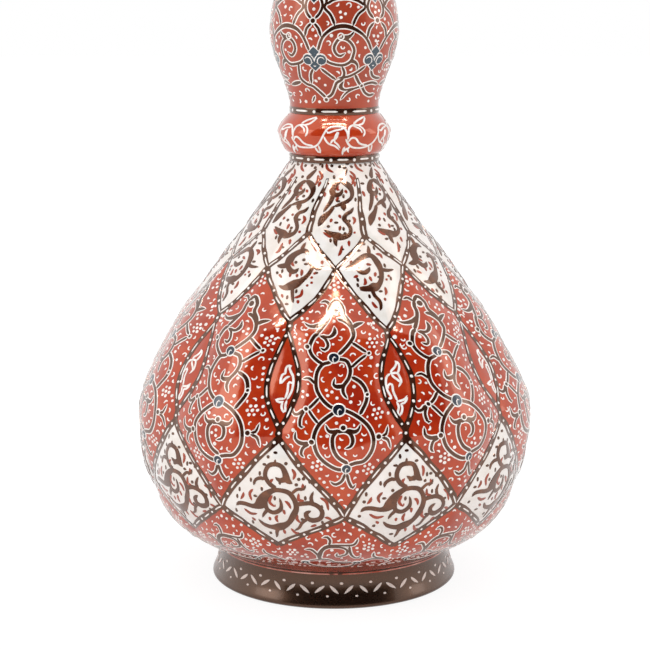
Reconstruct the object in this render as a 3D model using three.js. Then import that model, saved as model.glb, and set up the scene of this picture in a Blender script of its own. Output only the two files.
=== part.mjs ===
// Enamelled copper vase with ten chased lobes.
// Millimetres, +Z up, origin at the centre of the face that the foot rests on.
// A lobe faces the front, which is -Y.
import * as THREE from "three";

// Driving dimensions
const lobeCount = 10; // lobes round the body
const sheet = 1.2; // copper sheet with its enamel
const clearance = 0.3; // gap of a piece inside another

const footHeight = 9.2;
const footInset = 0.2; // the foot's top edge lies inside the body's edge
const footFlare = 1; // how much wider it is near the resting face
const footWaist = 0.9; // how much narrower it is at its waist
const footFlange = 6; // flange turned in under the body

const bodyFootRadius = 36.6; // where the body meets the foot
const bellyRadius = 58.4; // in the creases, at the widest height
const bellyHeight = 50;
const bodyTop = 128.6;
const bodyTopRadius = 13.1;

const bandHeight = 2; // dark bands over the joints
const bandStandsProud = 0.6;
const collarHeight = 12;
const collarRadius = 16.8;
const bulbHeight = 48.8;
const bulbRadius = 19;
const bulbEndRadius = 13.2;
const mouthHeight = 52.7;
const mouthRadius = 24.5;
const mouthWaistRadius = 11.3;
const rimWireRadius = 1.2;
const sleeveWall = 1;
const neckSleeveOverlap = 7; // length of a sleeve inside each piece that it joins
const mouthSleeveOverlap = 6.5;
const baseDiscThickness = 1;

// Heights of the chased pattern's corners on the body, from the neck down
const plainNeck = 4.1; // between the ribs' ends and the body's top
const ribFoot = 109.3;
const lobeTop = 100.3;
const kiteFoot = 86;
const hollowTop = 83.6;
const hollowFoot = 59;
const diamondTop = 56.5;
const lobeFoot = 34.5;
const diamondFoot = 24;
const hollowHalfWidth = 0.138; // share of a lobe's width
// Powers that bow the panels' edges: below 1 a kite's lower edges bow out, above 1 a diamond's upper ones do
const kiteFullness = 0.9;
const diamondFullness = 1.15;

// How far each kind of panel is raised above its creases, and over what distance it rises
const panels = {
  neckPanel: { rise: 0.5, reach: 4.5 },
  kite: { rise: 1, reach: 5.5 },
  lobe: { rise: 2.6, reach: 13 },
  hollow: { rise: 0.3, reach: 4 },
  diamond: { rise: 1.5, reach: 9 },
  footPanel: { rise: 1, reach: 9 },
};
const fadeLength = 7; // the relief dies out over this height at the body's two ends

// Grid of the body's surface
const stepsInHalfLobe = 3;
const roundSteps = 36;
const footSteps = 48;

const footTopRadius = bodyFootRadius - footInset;
const footRadius = footTopRadius + footFlare;
const footWaistRadius = footTopRadius - footWaist;

// Heights of the stack, from the foot up
const ribTop = bodyTop - plainNeck;
const lowerBandTop = bodyTop + bandHeight;
const collarTop = lowerBandTop + collarHeight;
const bulbFoot = collarTop + bandHeight;
const bulbTop = bulbFoot + bulbHeight;
const mouthFoot = bulbTop + bandHeight;
const mouthTop = mouthFoot + mouthHeight;

const copper = { color: 0xb5603c, roughness: 0.35, metalness: 1 };
const redEnamel = { color: 0xc63a1e, roughness: 0.15, metalness: 0 };
const darkEnamel = { color: 0x33201c, roughness: 0.15, metalness: 0 };

const group = new THREE.Group();

function addPiece(name, geometry, finish) {
  geometry.computeVertexNormals();
  const mesh = new THREE.Mesh(geometry, new THREE.MeshStandardMaterial(finish));
  mesh.name = name;
  group.add(mesh);
}

// A closed section of [radius, height] points, turned round the Z axis.
function turned(section, steps = roundSteps) {
  const points = [...section, section[0]].map(([r, z]) => new THREE.Vector2(r, z));
  return new THREE.LatheGeometry(points, steps).rotateX(Math.PI / 2);
}

// Points along smooth curves between [radius, height] points, as [radius, height].
function smooth(points, count) {
  const curve = new THREE.SplineCurve(points.map(([r, z]) => new THREE.Vector2(r, z)));
  return curve.getPoints(count).map((v) => [v.x, v.y]);
}

// An outline moved inwards by the sheet's thickness, its two ends cut off flat.
function insideOf(outline, thickness = sheet) {
  return outline.map(([r, z], i) => {
    const before = outline[Math.max(i - 1, 0)];
    const after = outline[Math.min(i + 1, outline.length - 1)];
    const dr = after[0] - before[0];
    const dz = after[1] - before[1];
    const length = Math.hypot(dr, dz);
    if (i === 0 || i === outline.length - 1) return [r - thickness, z];
    return [r - (thickness * dz) / length, z + (thickness * dr) / length];
  });
}

function spunShell(outline) {
  return [...outline, ...insideOf(outline).reverse()];
}

// The body's outline in its creases: a belly curve and a shoulder curve.
const belly = new THREE.CubicBezierCurve(
  new THREE.Vector2(bodyFootRadius, footHeight),
  new THREE.Vector2(bodyFootRadius + 15, footHeight + 9.3),
  new THREE.Vector2(bellyRadius, bellyHeight - 18),
  new THREE.Vector2(bellyRadius, bellyHeight),
);
const shoulder = new THREE.CubicBezierCurve(
  new THREE.Vector2(bellyRadius, bellyHeight),
  new THREE.Vector2(bellyRadius + 0.9, bellyHeight + 20),
  new THREE.Vector2(bodyTopRadius + 18, bodyTop - 30),
  new THREE.Vector2(bodyTopRadius, bodyTop),
);
const outlineSamples = 90;
const bodyOutline = [
  ...belly.getPoints(outlineSamples),
  ...shoulder.getPoints(outlineSamples).slice(1),
];
let lengthSoFar = 0;
const bodyTable = bodyOutline.map((point, i) => {
  const from = bodyOutline[Math.max(i - 1, 0)];
  const to = bodyOutline[Math.min(i + 1, bodyOutline.length - 1)];
  if (i > 0) lengthSoFar += point.distanceTo(from);
  const lean = Math.hypot(to.x - from.x, to.y - from.y) / (to.y - from.y);
  return { z: point.y, radius: point.x, length: lengthSoFar, lean };
});

// Radius, length along the outline, and lean (sheet's radial over its true thickness) at a height.
function bodyAt(z) {
  let i = 1;
  while (i < bodyTable.length - 1 && bodyTable[i].z < z) i++;
  const low = bodyTable[i - 1];
  const high = bodyTable[i];
  const share = shareOf(z, low.z, high.z);
  const between = (key) => THREE.MathUtils.lerp(low[key], high[key], share);
  return { radius: between("radius"), length: between("length"), lean: between("lean") };
}

// The chased pattern between a lobe's middle (share 0) and the line between lobes (share 0.5):
// at each height, where the crease is and which panels lie on its two sides.
const zones = [
  { low: footHeight, high: diamondFoot, edge: () => 0.5, inner: "footPanel", outer: "footPanel", rows: 2 },
  {
    low: diamondFoot,
    high: lobeFoot,
    edge: (z) => 0.5 - 0.5 * shareOf(z, diamondFoot, lobeFoot),
    inner: "footPanel",
    outer: "diamond",
    rows: 3,
  },
  {
    low: lobeFoot,
    high: diamondTop,
    edge: (z) => 0.5 * shareOf(z, lobeFoot, diamondTop) ** diamondFullness,
    inner: "lobe",
    outer: "diamond",
    rows: 3,
  },
  { low: diamondTop, high: kiteFoot, edge: hollowEdge, inner: "lobe", outer: "hollow", rows: 5 },
  {
    low: kiteFoot,
    high: lobeTop,
    edge: (z) => 0.5 - 0.5 * shareOf(z, kiteFoot, lobeTop) ** kiteFullness,
    inner: "lobe",
    outer: "kite",
    rows: 3,
  },
  {
    low: lobeTop,
    high: ribFoot,
    edge: (z) => 0.5 * shareOf(z, lobeTop, ribFoot),
    inner: "neckPanel",
    outer: "kite",
    rows: 3,
  },
  { low: ribFoot, high: ribTop, edge: () => 0.5, inner: "neckPanel", outer: "neckPanel", rows: 2 },
  { low: ribTop, high: bodyTop, edge: () => 0.5, inner: "neckPanel", outer: "neckPanel", rows: 1 },
];

// The almond-shaped hollow between two lobes
function hollowEdge(z) {
  return 0.5 - hollowHalfWidth * Math.sin(Math.PI * shareOf(z, hollowFoot, hollowTop));
}

function shareOf(z, low, high) {
  return THREE.MathUtils.clamp((z - low) / (high - low), 0, 1);
}

function zoneAt(z) {
  return zones.find((zone) => z <= zone.high) ?? zones[zones.length - 1];
}

function lobeWidthAt(z) {
  return (2 * Math.PI * bodyAt(z).radius) / lobeCount;
}

// The creases as points on the unrolled body, with their mirror images in the two neighbours
const samplesInCrease = 12;
const creases = zones.slice(1, -1).map((zone) => {
  const line = [];
  for (let i = 0; i <= samplesInCrease; i++) {
    const z = THREE.MathUtils.lerp(zone.low, zone.high, i / samplesInCrease);
    line.push({ share: zone.edge(z), width: lobeWidthAt(z), length: bodyAt(z).length });
  }
  return line;
});

function distanceToCrease(share, z) {
  const here = new THREE.Vector3(share * lobeWidthAt(z), bodyAt(z).length, 0);
  const nearest = new THREE.Vector3();
  let least = Infinity;
  for (const line of creases) {
    for (const mirrored of [(s) => s, (s) => -s, (s) => 1 - s]) {
      const points = line.map((p) => new THREE.Vector3(mirrored(p.share) * p.width, p.length, 0));
      for (let i = 1; i < points.length; i++) {
        new THREE.Line3(points[i - 1], points[i]).closestPointToPoint(here, true, nearest);
        least = Math.min(least, here.distanceTo(nearest));
      }
    }
  }
  return least;
}

// Height of the chased relief above the creases
function reliefAt(share, z) {
  const zone = zoneAt(z);
  const panel = panels[Math.abs(share) < zone.edge(z) ? zone.inner : zone.outer];
  const rest = 1 - Math.min(distanceToCrease(Math.abs(share), z) / panel.reach, 1);
  const toEnd = Math.min(z - footHeight, bodyTop - z) / fadeLength;
  const fade = THREE.MathUtils.smoothstep(toEnd, 0, 1);
  return panel.rise * (1 - rest * rest) * fade;
}

// Shares of a lobe's width where the grid has its columns; beside a hollow one column follows its edge.
function columnsAt(z) {
  const columns = [];
  for (let i = -stepsInHalfLobe; i < stepsInHalfLobe; i++) columns.push((0.5 * i) / stepsInHalfLobe);
  const edge = zoneAt(z).edge(z);
  const besideHollow = z > hollowFoot && z < hollowTop;
  return columns.map((share) => {
    const isOutermost = Math.abs(Math.abs(share) - (0.5 - 0.5 / stepsInHalfLobe)) < 1e-6;
    return besideHollow && isOutermost ? Math.sign(share) * edge : share;
  });
}

function bodyShell() {
  const heights = [footHeight];
  for (const zone of zones) {
    for (let i = 1; i <= zone.rows; i++) heights.push(THREE.MathUtils.lerp(zone.low, zone.high, i / zone.rows));
  }
  const around = lobeCount * stepsInHalfLobe * 2;
  const outer = [];
  const inner = [];
  for (const z of heights) {
    const { radius, lean } = bodyAt(z);
    const shares = columnsAt(z);
    const reliefs = shares.map((share) => reliefAt(share, z));
    for (let k = 0; k < around; k++) {
      const share = shares[k % shares.length];
      const lobe = Math.floor(k / shares.length);
      const angle = ((lobe + share) * 2 * Math.PI) / lobeCount;
      const outside = radius + reliefs[k % shares.length];
      const place = (r) => new THREE.Vector3(r * Math.sin(angle), -r * Math.cos(angle), z);
      outer.push({ point: place(outside), relief: reliefs[k % shares.length] });
      inner.push({ point: place(outside - sheet * lean), relief: 0 });
    }
  }
  const vertices = [...outer, ...inner];
  const innerStart = outer.length;
  const index = [];
  const quad = (a, b, c, d) => index.push(a, b, c, a, c, d);
  for (let j = 0; j + 1 < heights.length; j++) {
    for (let k = 0; k < around; k++) {
      const next = (k + 1) % around;
      const a = j * around + k;
      const b = j * around + next;
      const c = b + around;
      const d = a + around;
      // The quad is split along its lower diagonal, so that creases stay sharp.
      const splitAtA = outer[a].relief + outer[c].relief <= outer[b].relief + outer[d].relief;
      const [p, q, r, s] = splitAtA ? [a, b, c, d] : [b, c, d, a];
      quad(p, q, r, s);
      quad(innerStart + p, innerStart + s, innerStart + r, innerStart + q);
    }
  }
  const topRow = (heights.length - 1) * around;
  for (let k = 0; k < around; k++) {
    const next = (k + 1) % around;
    quad(next, k, innerStart + k, innerStart + next);
    quad(topRow + k, topRow + next, innerStart + topRow + next, innerStart + topRow + k);
  }
  const geometry = new THREE.BufferGeometry();
  geometry.setAttribute(
    "position",
    new THREE.Float32BufferAttribute(vertices.flatMap((v) => v.point.toArray()), 3),
  );
  geometry.setIndex(index);
  return geometry;
}

function footRing() {
  const outside = [
    ...smooth(
      [
        [footRadius - 1.4, 0],
        [footRadius - 0.3, 0.5],
        [footRadius, 1.6],
        [footWaistRadius + 0.5, 4.5],
        [footWaistRadius, 6.6],
        [footTopRadius, footHeight - 0.9],
      ],
      8,
    ),
    [footTopRadius, footHeight],
  ];
  const inside = [
    [footWaistRadius - footFlange, footHeight],
    [footWaistRadius - footFlange, footHeight - sheet],
    [footWaistRadius - sheet - 0.8, footHeight - sheet],
    [footWaistRadius - sheet, footHeight - sheet - 1.2],
    [footRadius - sheet - 1.4, 1.2],
    [footRadius - sheet - 1.4, 0],
  ];
  return turned([...outside, ...inside], footSteps);
}

// Radial thickness of the body's sheet where it is cut off flat at its two ends
const bodyFootInside = bodyFootRadius - sheet * bodyAt(footHeight).lean;
const neckBore = bodyTopRadius - sheet * bodyAt(bodyTop).lean;

function baseDisc() {
  const radius = bodyFootInside - clearance;
  return turned(
    [
      [0, footHeight],
      [radius, footHeight],
      [radius, footHeight + baseDiscThickness],
      [0, footHeight + baseDiscThickness],
    ],
    footSteps,
  );
}

// A band with a half-round edge, from one height to the next
function jointBand(from, bore, radius) {
  const rounding = 0.5;
  return turned([
    [bore, from],
    [radius, from],
    [radius + bandStandsProud, from + rounding],
    [radius + bandStandsProud, from + bandHeight - rounding],
    [radius, from + bandHeight],
    [bore, from + bandHeight],
  ]);
}

function collarRing() {
  const outline = smooth(
    [
      [bodyTopRadius + 0.3, lowerBandTop],
      [bodyTopRadius + 1.9, lowerBandTop + 1.4],
      [collarRadius, lowerBandTop + 0.44 * collarHeight],
      [bulbEndRadius + 2.2, collarTop - 2.6],
      [bulbEndRadius, collarTop],
    ],
    8,
  );
  return turned(spunShell(outline));
}

// The bulb's outline from its foot to its middle; the upper half mirrors it.
const bulbSwell = bulbRadius - bulbEndRadius;
const lowerBulb = [
  [bulbEndRadius, 0],
  [bulbEndRadius + 0.04 * bulbSwell, 0.1],
  [bulbEndRadius + 0.27 * bulbSwell, 0.31],
  [bulbEndRadius + 0.58 * bulbSwell, 0.52],
  [bulbEndRadius + 0.87 * bulbSwell, 0.76],
  [bulbRadius, 1],
].map(([r, share]) => [r, bulbFoot + (share * bulbHeight) / 2]);
const upperBulb = lowerBulb.slice(0, -1).map(([r, z]) => [r, bulbFoot + bulbTop - z]);
const bulbOutline = smooth([...lowerBulb, ...upperBulb.reverse()], 14);

const mouthFlare = mouthRadius - mouthWaistRadius;
const mouthOutline = smooth(
  [
    [bulbEndRadius - 0.3, mouthFoot],
    [mouthWaistRadius, mouthFoot + 0.2 * mouthHeight],
    [mouthWaistRadius + 0.07 * mouthFlare, mouthFoot + 0.45 * mouthHeight],
    [mouthWaistRadius + 0.3 * mouthFlare, mouthFoot + 0.72 * mouthHeight],
    [mouthWaistRadius + 0.62 * mouthFlare, mouthFoot + 0.9 * mouthHeight],
    [mouthRadius, mouthTop],
  ],
  12,
);
const rimInside = insideOf(mouthOutline)[mouthOutline.length - 1][0];

// The wire that the mouth's edge is closed with, seated flat on the edge
function rimWire() {
  const middle = (mouthRadius + rimInside) / 2;
  const section = [];
  const steps = 5;
  for (let i = 0; i <= steps; i++) {
    const turn = (Math.PI * i) / steps;
    section.push([
      middle + rimWireRadius * 1.15 * Math.cos(turn),
      mouthTop + rimWireRadius * 0.4 + rimWireRadius * 1.2 * Math.sin(turn),
    ]);
  }
  const seat = rimWireRadius * 0.8;
  return turned([[middle - seat, mouthTop], [middle + seat, mouthTop], ...section]);
}

function sleeve(outerRadius, from, to) {
  return turned([
    [outerRadius, from],
    [outerRadius, to],
    [outerRadius - sleeveWall, to],
    [outerRadius - sleeveWall, from],
  ]);
}

const neckSleeveRadius = Math.min(neckBore, bulbEndRadius - sheet) - clearance;
const mouthSleeveRadius = mouthWaistRadius - sheet - clearance;

addPiece("foot_ring", footRing(), darkEnamel);
addPiece("base_disc", baseDisc(), copper);
addPiece("body_shell", bodyShell(), redEnamel);
addPiece("lower_joint_band", jointBand(bodyTop, neckSleeveRadius + clearance, bodyTopRadius + 0.2), darkEnamel);
addPiece("collar_ring", collarRing(), redEnamel);
addPiece("upper_joint_band", jointBand(collarTop, neckSleeveRadius + clearance, bulbEndRadius), darkEnamel);
addPiece("neck_sleeve", sleeve(neckSleeveRadius, bodyTop - neckSleeveOverlap, bulbFoot + neckSleeveOverlap), copper);
addPiece("neck_bulb", turned(spunShell(bulbOutline)), redEnamel);
addPiece("top_joint_band", jointBand(bulbTop, mouthSleeveRadius + clearance, bulbEndRadius), darkEnamel);
addPiece("mouth_sleeve", sleeve(mouthSleeveRadius, bulbTop - mouthSleeveOverlap, mouthFoot + mouthSleeveOverlap), copper);
addPiece("mouth_trumpet", turned(spunShell(mouthOutline)), redEnamel);
addPiece("rim_wire", rimWire(), darkEnamel);

export default group;
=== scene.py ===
import math
import random

import bpy
import numpy as np
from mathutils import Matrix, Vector


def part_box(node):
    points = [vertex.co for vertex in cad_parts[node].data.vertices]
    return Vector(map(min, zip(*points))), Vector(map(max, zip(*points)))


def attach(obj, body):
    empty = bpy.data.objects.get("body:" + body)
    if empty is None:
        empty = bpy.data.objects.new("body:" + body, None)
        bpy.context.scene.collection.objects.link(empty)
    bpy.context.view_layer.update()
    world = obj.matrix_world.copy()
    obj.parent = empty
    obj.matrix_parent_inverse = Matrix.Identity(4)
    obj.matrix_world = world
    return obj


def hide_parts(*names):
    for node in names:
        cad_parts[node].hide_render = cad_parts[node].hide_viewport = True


# Enamelled copper vase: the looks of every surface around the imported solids. Blender works in metres, and the
# dictionaries below are in millimetres and degrees. The solids' own box is kept before anything is added.
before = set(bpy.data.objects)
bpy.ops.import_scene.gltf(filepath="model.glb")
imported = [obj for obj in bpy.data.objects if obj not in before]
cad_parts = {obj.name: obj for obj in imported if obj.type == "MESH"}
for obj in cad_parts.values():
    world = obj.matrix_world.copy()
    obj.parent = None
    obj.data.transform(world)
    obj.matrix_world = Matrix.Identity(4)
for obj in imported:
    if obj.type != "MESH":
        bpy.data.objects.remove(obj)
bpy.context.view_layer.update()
millimetre = 0.001
random.seed(7)


# Lines

def smoothLine(points, steps):
    # Catmull-Rom through points of any number of columns, with steps points to a span
    points = np.array(points, float)
    line = []
    for i in range(len(points) - 1):
        before, start = points[max(i - 1, 0)], points[i]
        end, after = points[i + 1], points[min(i + 2, len(points) - 1)]
        leave, arrive = (end - before) / 2, (after - start) / 2
        for k in range(steps):
            t = k / steps
            line.append((2 * start - 2 * end + leave + arrive) * t**3
                        + (-3 * start + 3 * end - 2 * leave - arrive) * t**2 + leave * t + start)
    return np.array(line + [points[-1]])


def bezier(points, steps):
    t = np.linspace(0, 1, steps + 1)[:, None]
    a, b, c, d = np.array(points, float)
    return (1 - t)**3 * a + 3 * (1 - t)**2 * t * b + 3 * (1 - t) * t**2 * c + t**3 * d


def lengthsAlong(path):
    # How far along a path each of its points lies
    return np.concatenate([[0], np.cumsum(np.hypot(*np.diff(path[:, :2], axis=0).T))])


def smoothShare(share):
    # 0 to 1 with soft ends
    share = np.clip(share, 0, 1)
    return share**2 * (3 - 2 * share)


# Shapes of the turned pieces and of the chased body

def heights(node):
    low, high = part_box(node)
    return low.z / millimetre, high.z / millimetre


shellFoot, bodyTop = heights("body_shell")
body = {
    "footRadius": 36.6, "footLift": 2.2, "bellyRadius": 58.4, "bellyHeight": 50.0, "topRadius": 13.1,
    "lobes": 10, "sheet": 1.2,
    "ribTop": 124.5, "ribFoot": 109.3, "lobeTop": 100.3, "kiteFoot": 86.0,
    "hollowTop": 83.6, "hollowFoot": 59.0, "hollowHalfWidth": 0.138,
    "diamondTop": 56.5, "lobeFoot": 34.5, "diamondFoot": 24.0,
    "kiteFullness": 0.9, "diamondFullness": 1.15,
    "rise": {"neck": 0.5, "kite": 1.0, "lobe": 2.28, "hollow": 0.3, "diamond": 1.25, "foot": 1.0},
    "reach": {"neck": 4.5, "kite": 5.5, "lobe": 13, "hollow": 4, "diamond": 9, "foot": 9},
    "fade": 7.0, "soften": 0.6,
    "columnsInLobe": 36, "rows": 150, "innerRows": 50, "columnsToInner": 3,
    "sharesInTable": 37, "levelsInTable": 360,
    # How far the outline's handles reach: out and up at the foot, up and down at the belly and at the top
    "handles": {"footOut": 15, "footUp": 9.3, "bellyDown": 18, "bellyOut": 0.9, "bellyUp": 20, "topOut": 18,
                "topDown": 30},
}
lobeAngle = 360 / body["lobes"]
# The foot's neck covers the lowest edge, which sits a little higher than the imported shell's
bodyFoot = shellFoot + body["footLift"]


def bodyOutline():
    handles = body["handles"]
    foot, belly, top = body["footRadius"], body["bellyRadius"], body["topRadius"]
    middle = body["bellyHeight"]
    lower = [(foot, shellFoot), (foot + handles["footOut"], shellFoot + handles["footUp"]),
             (belly, middle - handles["bellyDown"]), (belly, middle)]
    upper = [(belly, middle), (belly + handles["bellyOut"], middle + handles["bellyUp"]),
             (top + handles["topOut"], bodyTop - handles["topDown"]), (top, bodyTop)]
    return np.vstack([bezier(lower, 200), bezier(upper, 200)[1:]])


class Turned:
    # A surface of revolution: x runs round it and s along its outline, both in millimetres
    def __init__(self, line):
        line = np.array(line, float)
        self.r, self.z = line[:, 0], line[:, 1]
        self.s = lengthsAlong(line)
        self.length = self.s[-1]
        self.findNormals()

    def findNormals(self):
        dr, dz = np.gradient(self.r), np.gradient(self.z)
        size = np.hypot(dr, dz)
        self.outR, self.outZ = dz / size, -dr / size

    def at(self, s, key):
        return np.interp(s, self.s, getattr(self, key))

    def radius(self, s):
        return float(self.at(s, "r"))

    def around(self, s):
        return 2 * math.pi * self.radius(s)

    def sOf(self, z):
        return np.interp(z, self.z, self.s)

    def raised(self, angle, s):
        return 0

    def place(self, turn, x, s, lift):
        x, s, lift = (np.asarray(v, float) for v in (x, s, lift))
        radius = self.at(s, "r")
        angle = math.radians(turn) + x / radius
        out = radius + self.raised(angle, s) + lift * self.at(s, "outR")
        up = self.at(s, "z") + lift * self.at(s, "outZ")
        return np.stack([out * np.sin(angle), -out * np.cos(angle), up], -1) * millimetre


# The chased pattern: in each band of heights, how far from a lobe's middle the crease lies, as a share of the
# lobe's width, and the panels on the crease's inner and outer side
def growing(low, high, power):
    return lambda z: 0.5 * np.clip((z - low) / (high - low), 0, 1) ** power


def shrinking(low, high, power):
    return lambda z: 0.5 - growing(low, high, power)(z)


def atEdge(z):
    return 0.5 + 0 * z


def hollowEdge(z):
    share = np.clip((z - body["hollowFoot"]) / (body["hollowTop"] - body["hollowFoot"]), 0, 1)
    return 0.5 - body["hollowHalfWidth"] * np.sin(math.pi * share)


def zone(low, high, edge, inner, outer, power=None):
    low, high = (body.get(v, v) for v in (low, high))
    return (low, high, edge(low, high, power) if power else edge, inner, outer)


zones = [
    zone(bodyFoot, "diamondFoot", atEdge, "foot", "foot"),
    zone("diamondFoot", "lobeFoot", shrinking, "foot", "diamond", 1),
    zone("lobeFoot", "diamondTop", growing, "lobe", "diamond", body["diamondFullness"]),
    zone("diamondTop", "kiteFoot", hollowEdge, "lobe", "hollow"),
    zone("kiteFoot", "lobeTop", shrinking, "lobe", "kite", body["kiteFullness"]),
    zone("lobeTop", "ribFoot", growing, "neck", "kite", 1),
    zone("ribFoot", bodyTop, atEdge, "neck", "neck"),
]
isIvory = {"foot": -1, "lobe": -1, "hollow": -1, "diamond": 1, "kite": 1, "neck": 1}

# Where the hand-drawn pattern slips from its regular place: turn in degrees and height, then how far it slips
# round the body and along its outline. Corners that aren't named slip by a random amount, up to the least.
slips = {
    "reach": 6.0, "least": 0.7,
    # The height of each row of corners, and the turn of its first one
    "rows": [(124.5, 18), (109.3, 18), (100.3, 0), (86.0, 18), (57.5, 18), (34.5, 0), (24.0, 18)],
    "corners": {
        (-18, 124.5): (1.7, 0), (18, 124.5): (1.6, 0), (-54, 124.5): (1.4, 0), (54, 124.5): (-1.4, 0),
        (-18, 109.3): (-0.3, 0.7), (18, 109.3): (0, -0.6),
        (-36, 100.3): (-1.0, -0.3), (0, 100.3): (-0.6, 0.2),
        (-18, 86.0): (-0.9, 1.0), (18, 86.0): (0.2, -1.6), (-18, 57.5): (0.7, 0.2), (0, 34.5): (1.0, -0.4),
        (-18, 24.0): (-1.4, 0), (18, 57.5): (0.3, 0),
    },
}


class Chased(Turned):
    # The body: the outline plus the chased relief, read from a fine table over half a lobe
    def __init__(self, line):
        super().__init__(line)
        near = smoothShare((body["diamondFoot"] - self.z) / (body["diamondFoot"] - shellFoot))
        self.z = self.z + body["footLift"] * near
        self.findNormals()
        self.shares = np.linspace(0, 0.5, body["sharesInTable"])
        self.levels = np.linspace(bodyFoot, bodyTop, body["levelsInTable"])
        self.makeTables()
        self.corners = np.array([self.corner(turn, z) for z, first in slips["rows"]
                                 for turn in range(first - 180, first + 180, 36)])

    def makeTables(self):
        share, z = np.meshgrid(self.shares, self.levels)
        distance = self.toCrease(share, z)
        relief, side = np.zeros_like(z), np.zeros_like(z)
        for low, high, edge, inner, outer in zones:
            inZone = (z >= low) & (z <= high)
            isInner = share < edge(z)
            for name, here in ((inner, inZone & isInner), (outer, inZone & ~isInner)):
                rest = 1 - np.clip(distance / body["reach"][name], 0, 1)
                relief[here] = (body["rise"][name] * (1 - rest**2))[here]
                side[here] = isIvory[name]
        toEnd = np.minimum(z - bodyFoot, bodyTop - z)
        self.relief = self.softened(relief) * smoothShare(toEnd / body["fade"])
        self.edge = distance * side

    def corner(self, turn, z):
        turn = (turn + 180) % 360 - 180
        slip = slips["corners"].get((turn, z), [random.uniform(-1, 1) * slips["least"] for _ in "xs"])
        return (math.radians(turn), float(self.sOf(z)), *slip)

    def slip(self, angle, s):
        angle, s = np.asarray(angle, float)[..., None], np.asarray(s, float)[..., None]
        angles, along, dx, ds = self.corners.T
        across = ((angle - angles + math.pi) % (2 * math.pi) - math.pi) * self.at(s, "r")
        near = np.exp(-(across**2 + (s - along) ** 2) / (2 * slips["reach"] ** 2))
        return (near * dx).sum(-1), (near * ds).sum(-1)

    def slipped(self, turn, points):
        # The hand-drawn place of points (x, s) of the regular pattern
        regular = np.array([p[:2] for p in points], float)
        drawn = regular
        for _ in range(3):
            angle = math.radians(turn) + drawn[:, 0] / self.at(drawn[:, 1], "r")
            drawn = regular + np.stack(self.slip(angle, drawn[:, 1]), -1)
        return [tuple(p) for p in drawn]

    def regular(self, angle, s):
        dx, ds = self.slip(angle, s)
        return angle - dx / self.at(s, "r"), s - ds

    def width(self, z):
        return 2 * math.pi * np.interp(z, self.z, self.r) / body["lobes"]

    def toCrease(self, share, z):
        # How far each point lies from the nearest crease, measured on the surface
        x, s = share * self.width(z), self.sOf(z)
        least = np.full(z.shape, 1e9)
        for low, high, edge, *_ in zones[1:]:
            level = np.linspace(low, min(high, body["ribTop"]), 24)
            for sign, shift in ((1, 0), (-1, 0), (-1, 1)):
                px = (sign * edge(level) + shift) * self.width(level)
                ps = self.sOf(level)
                for i in range(len(level) - 1):
                    ax, ay, bx, by = px[i], ps[i], px[i + 1], ps[i + 1]
                    dx, dy = bx - ax, by - ay
                    t = np.clip(((x - ax) * dx + (s - ay) * dy) / (dx * dx + dy * dy + 1e-12), 0, 1)
                    least = np.minimum(least, np.hypot(x - ax - t * dx, s - ay - t * dy))
        return least

    def softened(self, relief):
        # A short blur rounds the creases as the punch does; the lobe mirrors at both edges
        cellZ = self.levels[1] - self.levels[0]
        cellX = self.width(body["bellyHeight"]) * self.shares[1]
        for axis, cell in ((0, cellZ), (1, cellX)):
            reach = int(3 * body["soften"] / cell) + 1
            weights = np.exp(-0.5 * (np.arange(-reach, reach + 1) * cell / body["soften"]) ** 2)
            weights = weights / weights.sum()
            padded = np.pad(relief, [(reach, reach) if a == axis else (0, 0) for a in (0, 1)], "reflect")
            relief = np.apply_along_axis(np.convolve, axis, padded, weights, "valid")
        return relief

    def lookUp(self, table, angle, s):
        angle, s = self.regular(angle, s)
        turns = angle / (2 * math.pi) * body["lobes"]
        share = np.abs(turns - np.round(turns)) / self.shares[1]
        level = (self.at(s, "z") - self.levels[0]) / (self.levels[1] - self.levels[0])
        i = np.clip(share.astype(int), 0, len(self.shares) - 2)
        j = np.clip(level.astype(int), 0, len(self.levels) - 2)
        u, v = share - i, np.clip(level - j, 0, 1)
        return ((table[j, i] * (1 - u) + table[j, i + 1] * u) * (1 - v)
                + (table[j + 1, i] * (1 - u) + table[j + 1, i + 1] * u) * v)

    def raised(self, angle, s):
        return self.lookUp(self.relief, np.asarray(angle, float) + 0 * s, np.asarray(s, float) + 0 * angle)


bodySurface = Chased(bodyOutline())
print("body surface ready")


# Meshes

def meshPiece(name, points, faces, material, smooth=True):
    mesh = bpy.data.meshes.new(name)
    mesh.from_pydata([tuple(p) for p in points], [], faces)
    mesh.materials.append(material)
    mesh.polygons.foreach_set("use_smooth", [smooth] * len(mesh.polygons))
    piece = bpy.data.objects.new(name, mesh)
    bpy.context.scene.collection.objects.link(piece)
    return piece


def belongs(piece, slot, *nodes):
    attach(piece, "root")
    if nodes:
        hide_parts(*nodes)


def markPanels(piece, values):
    # How deep each point lies inside an ivory panel, for the enamel's colour
    marks = piece.data.attributes.new("panelEdge", "FLOAT", "POINT")
    marks.data.foreach_set("value", values.astype(np.float32))


# Materials

class Wire:
    # A shader socket that Python operators work on
    def __init__(self, tree, socket):
        self.tree, self.socket = tree, socket

    def math(self, operation, *values):
        return self.tree.node("ShaderNodeMath", {"operation": operation}, values)

    def __add__(self, other):
        return self.math("ADD", self, other)

    def __radd__(self, other):
        return self.math("ADD", other, self)

    def __mul__(self, other):
        return self.math("MULTIPLY", self, other)

    def __rmul__(self, other):
        return self.math("MULTIPLY", other, self)


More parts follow.
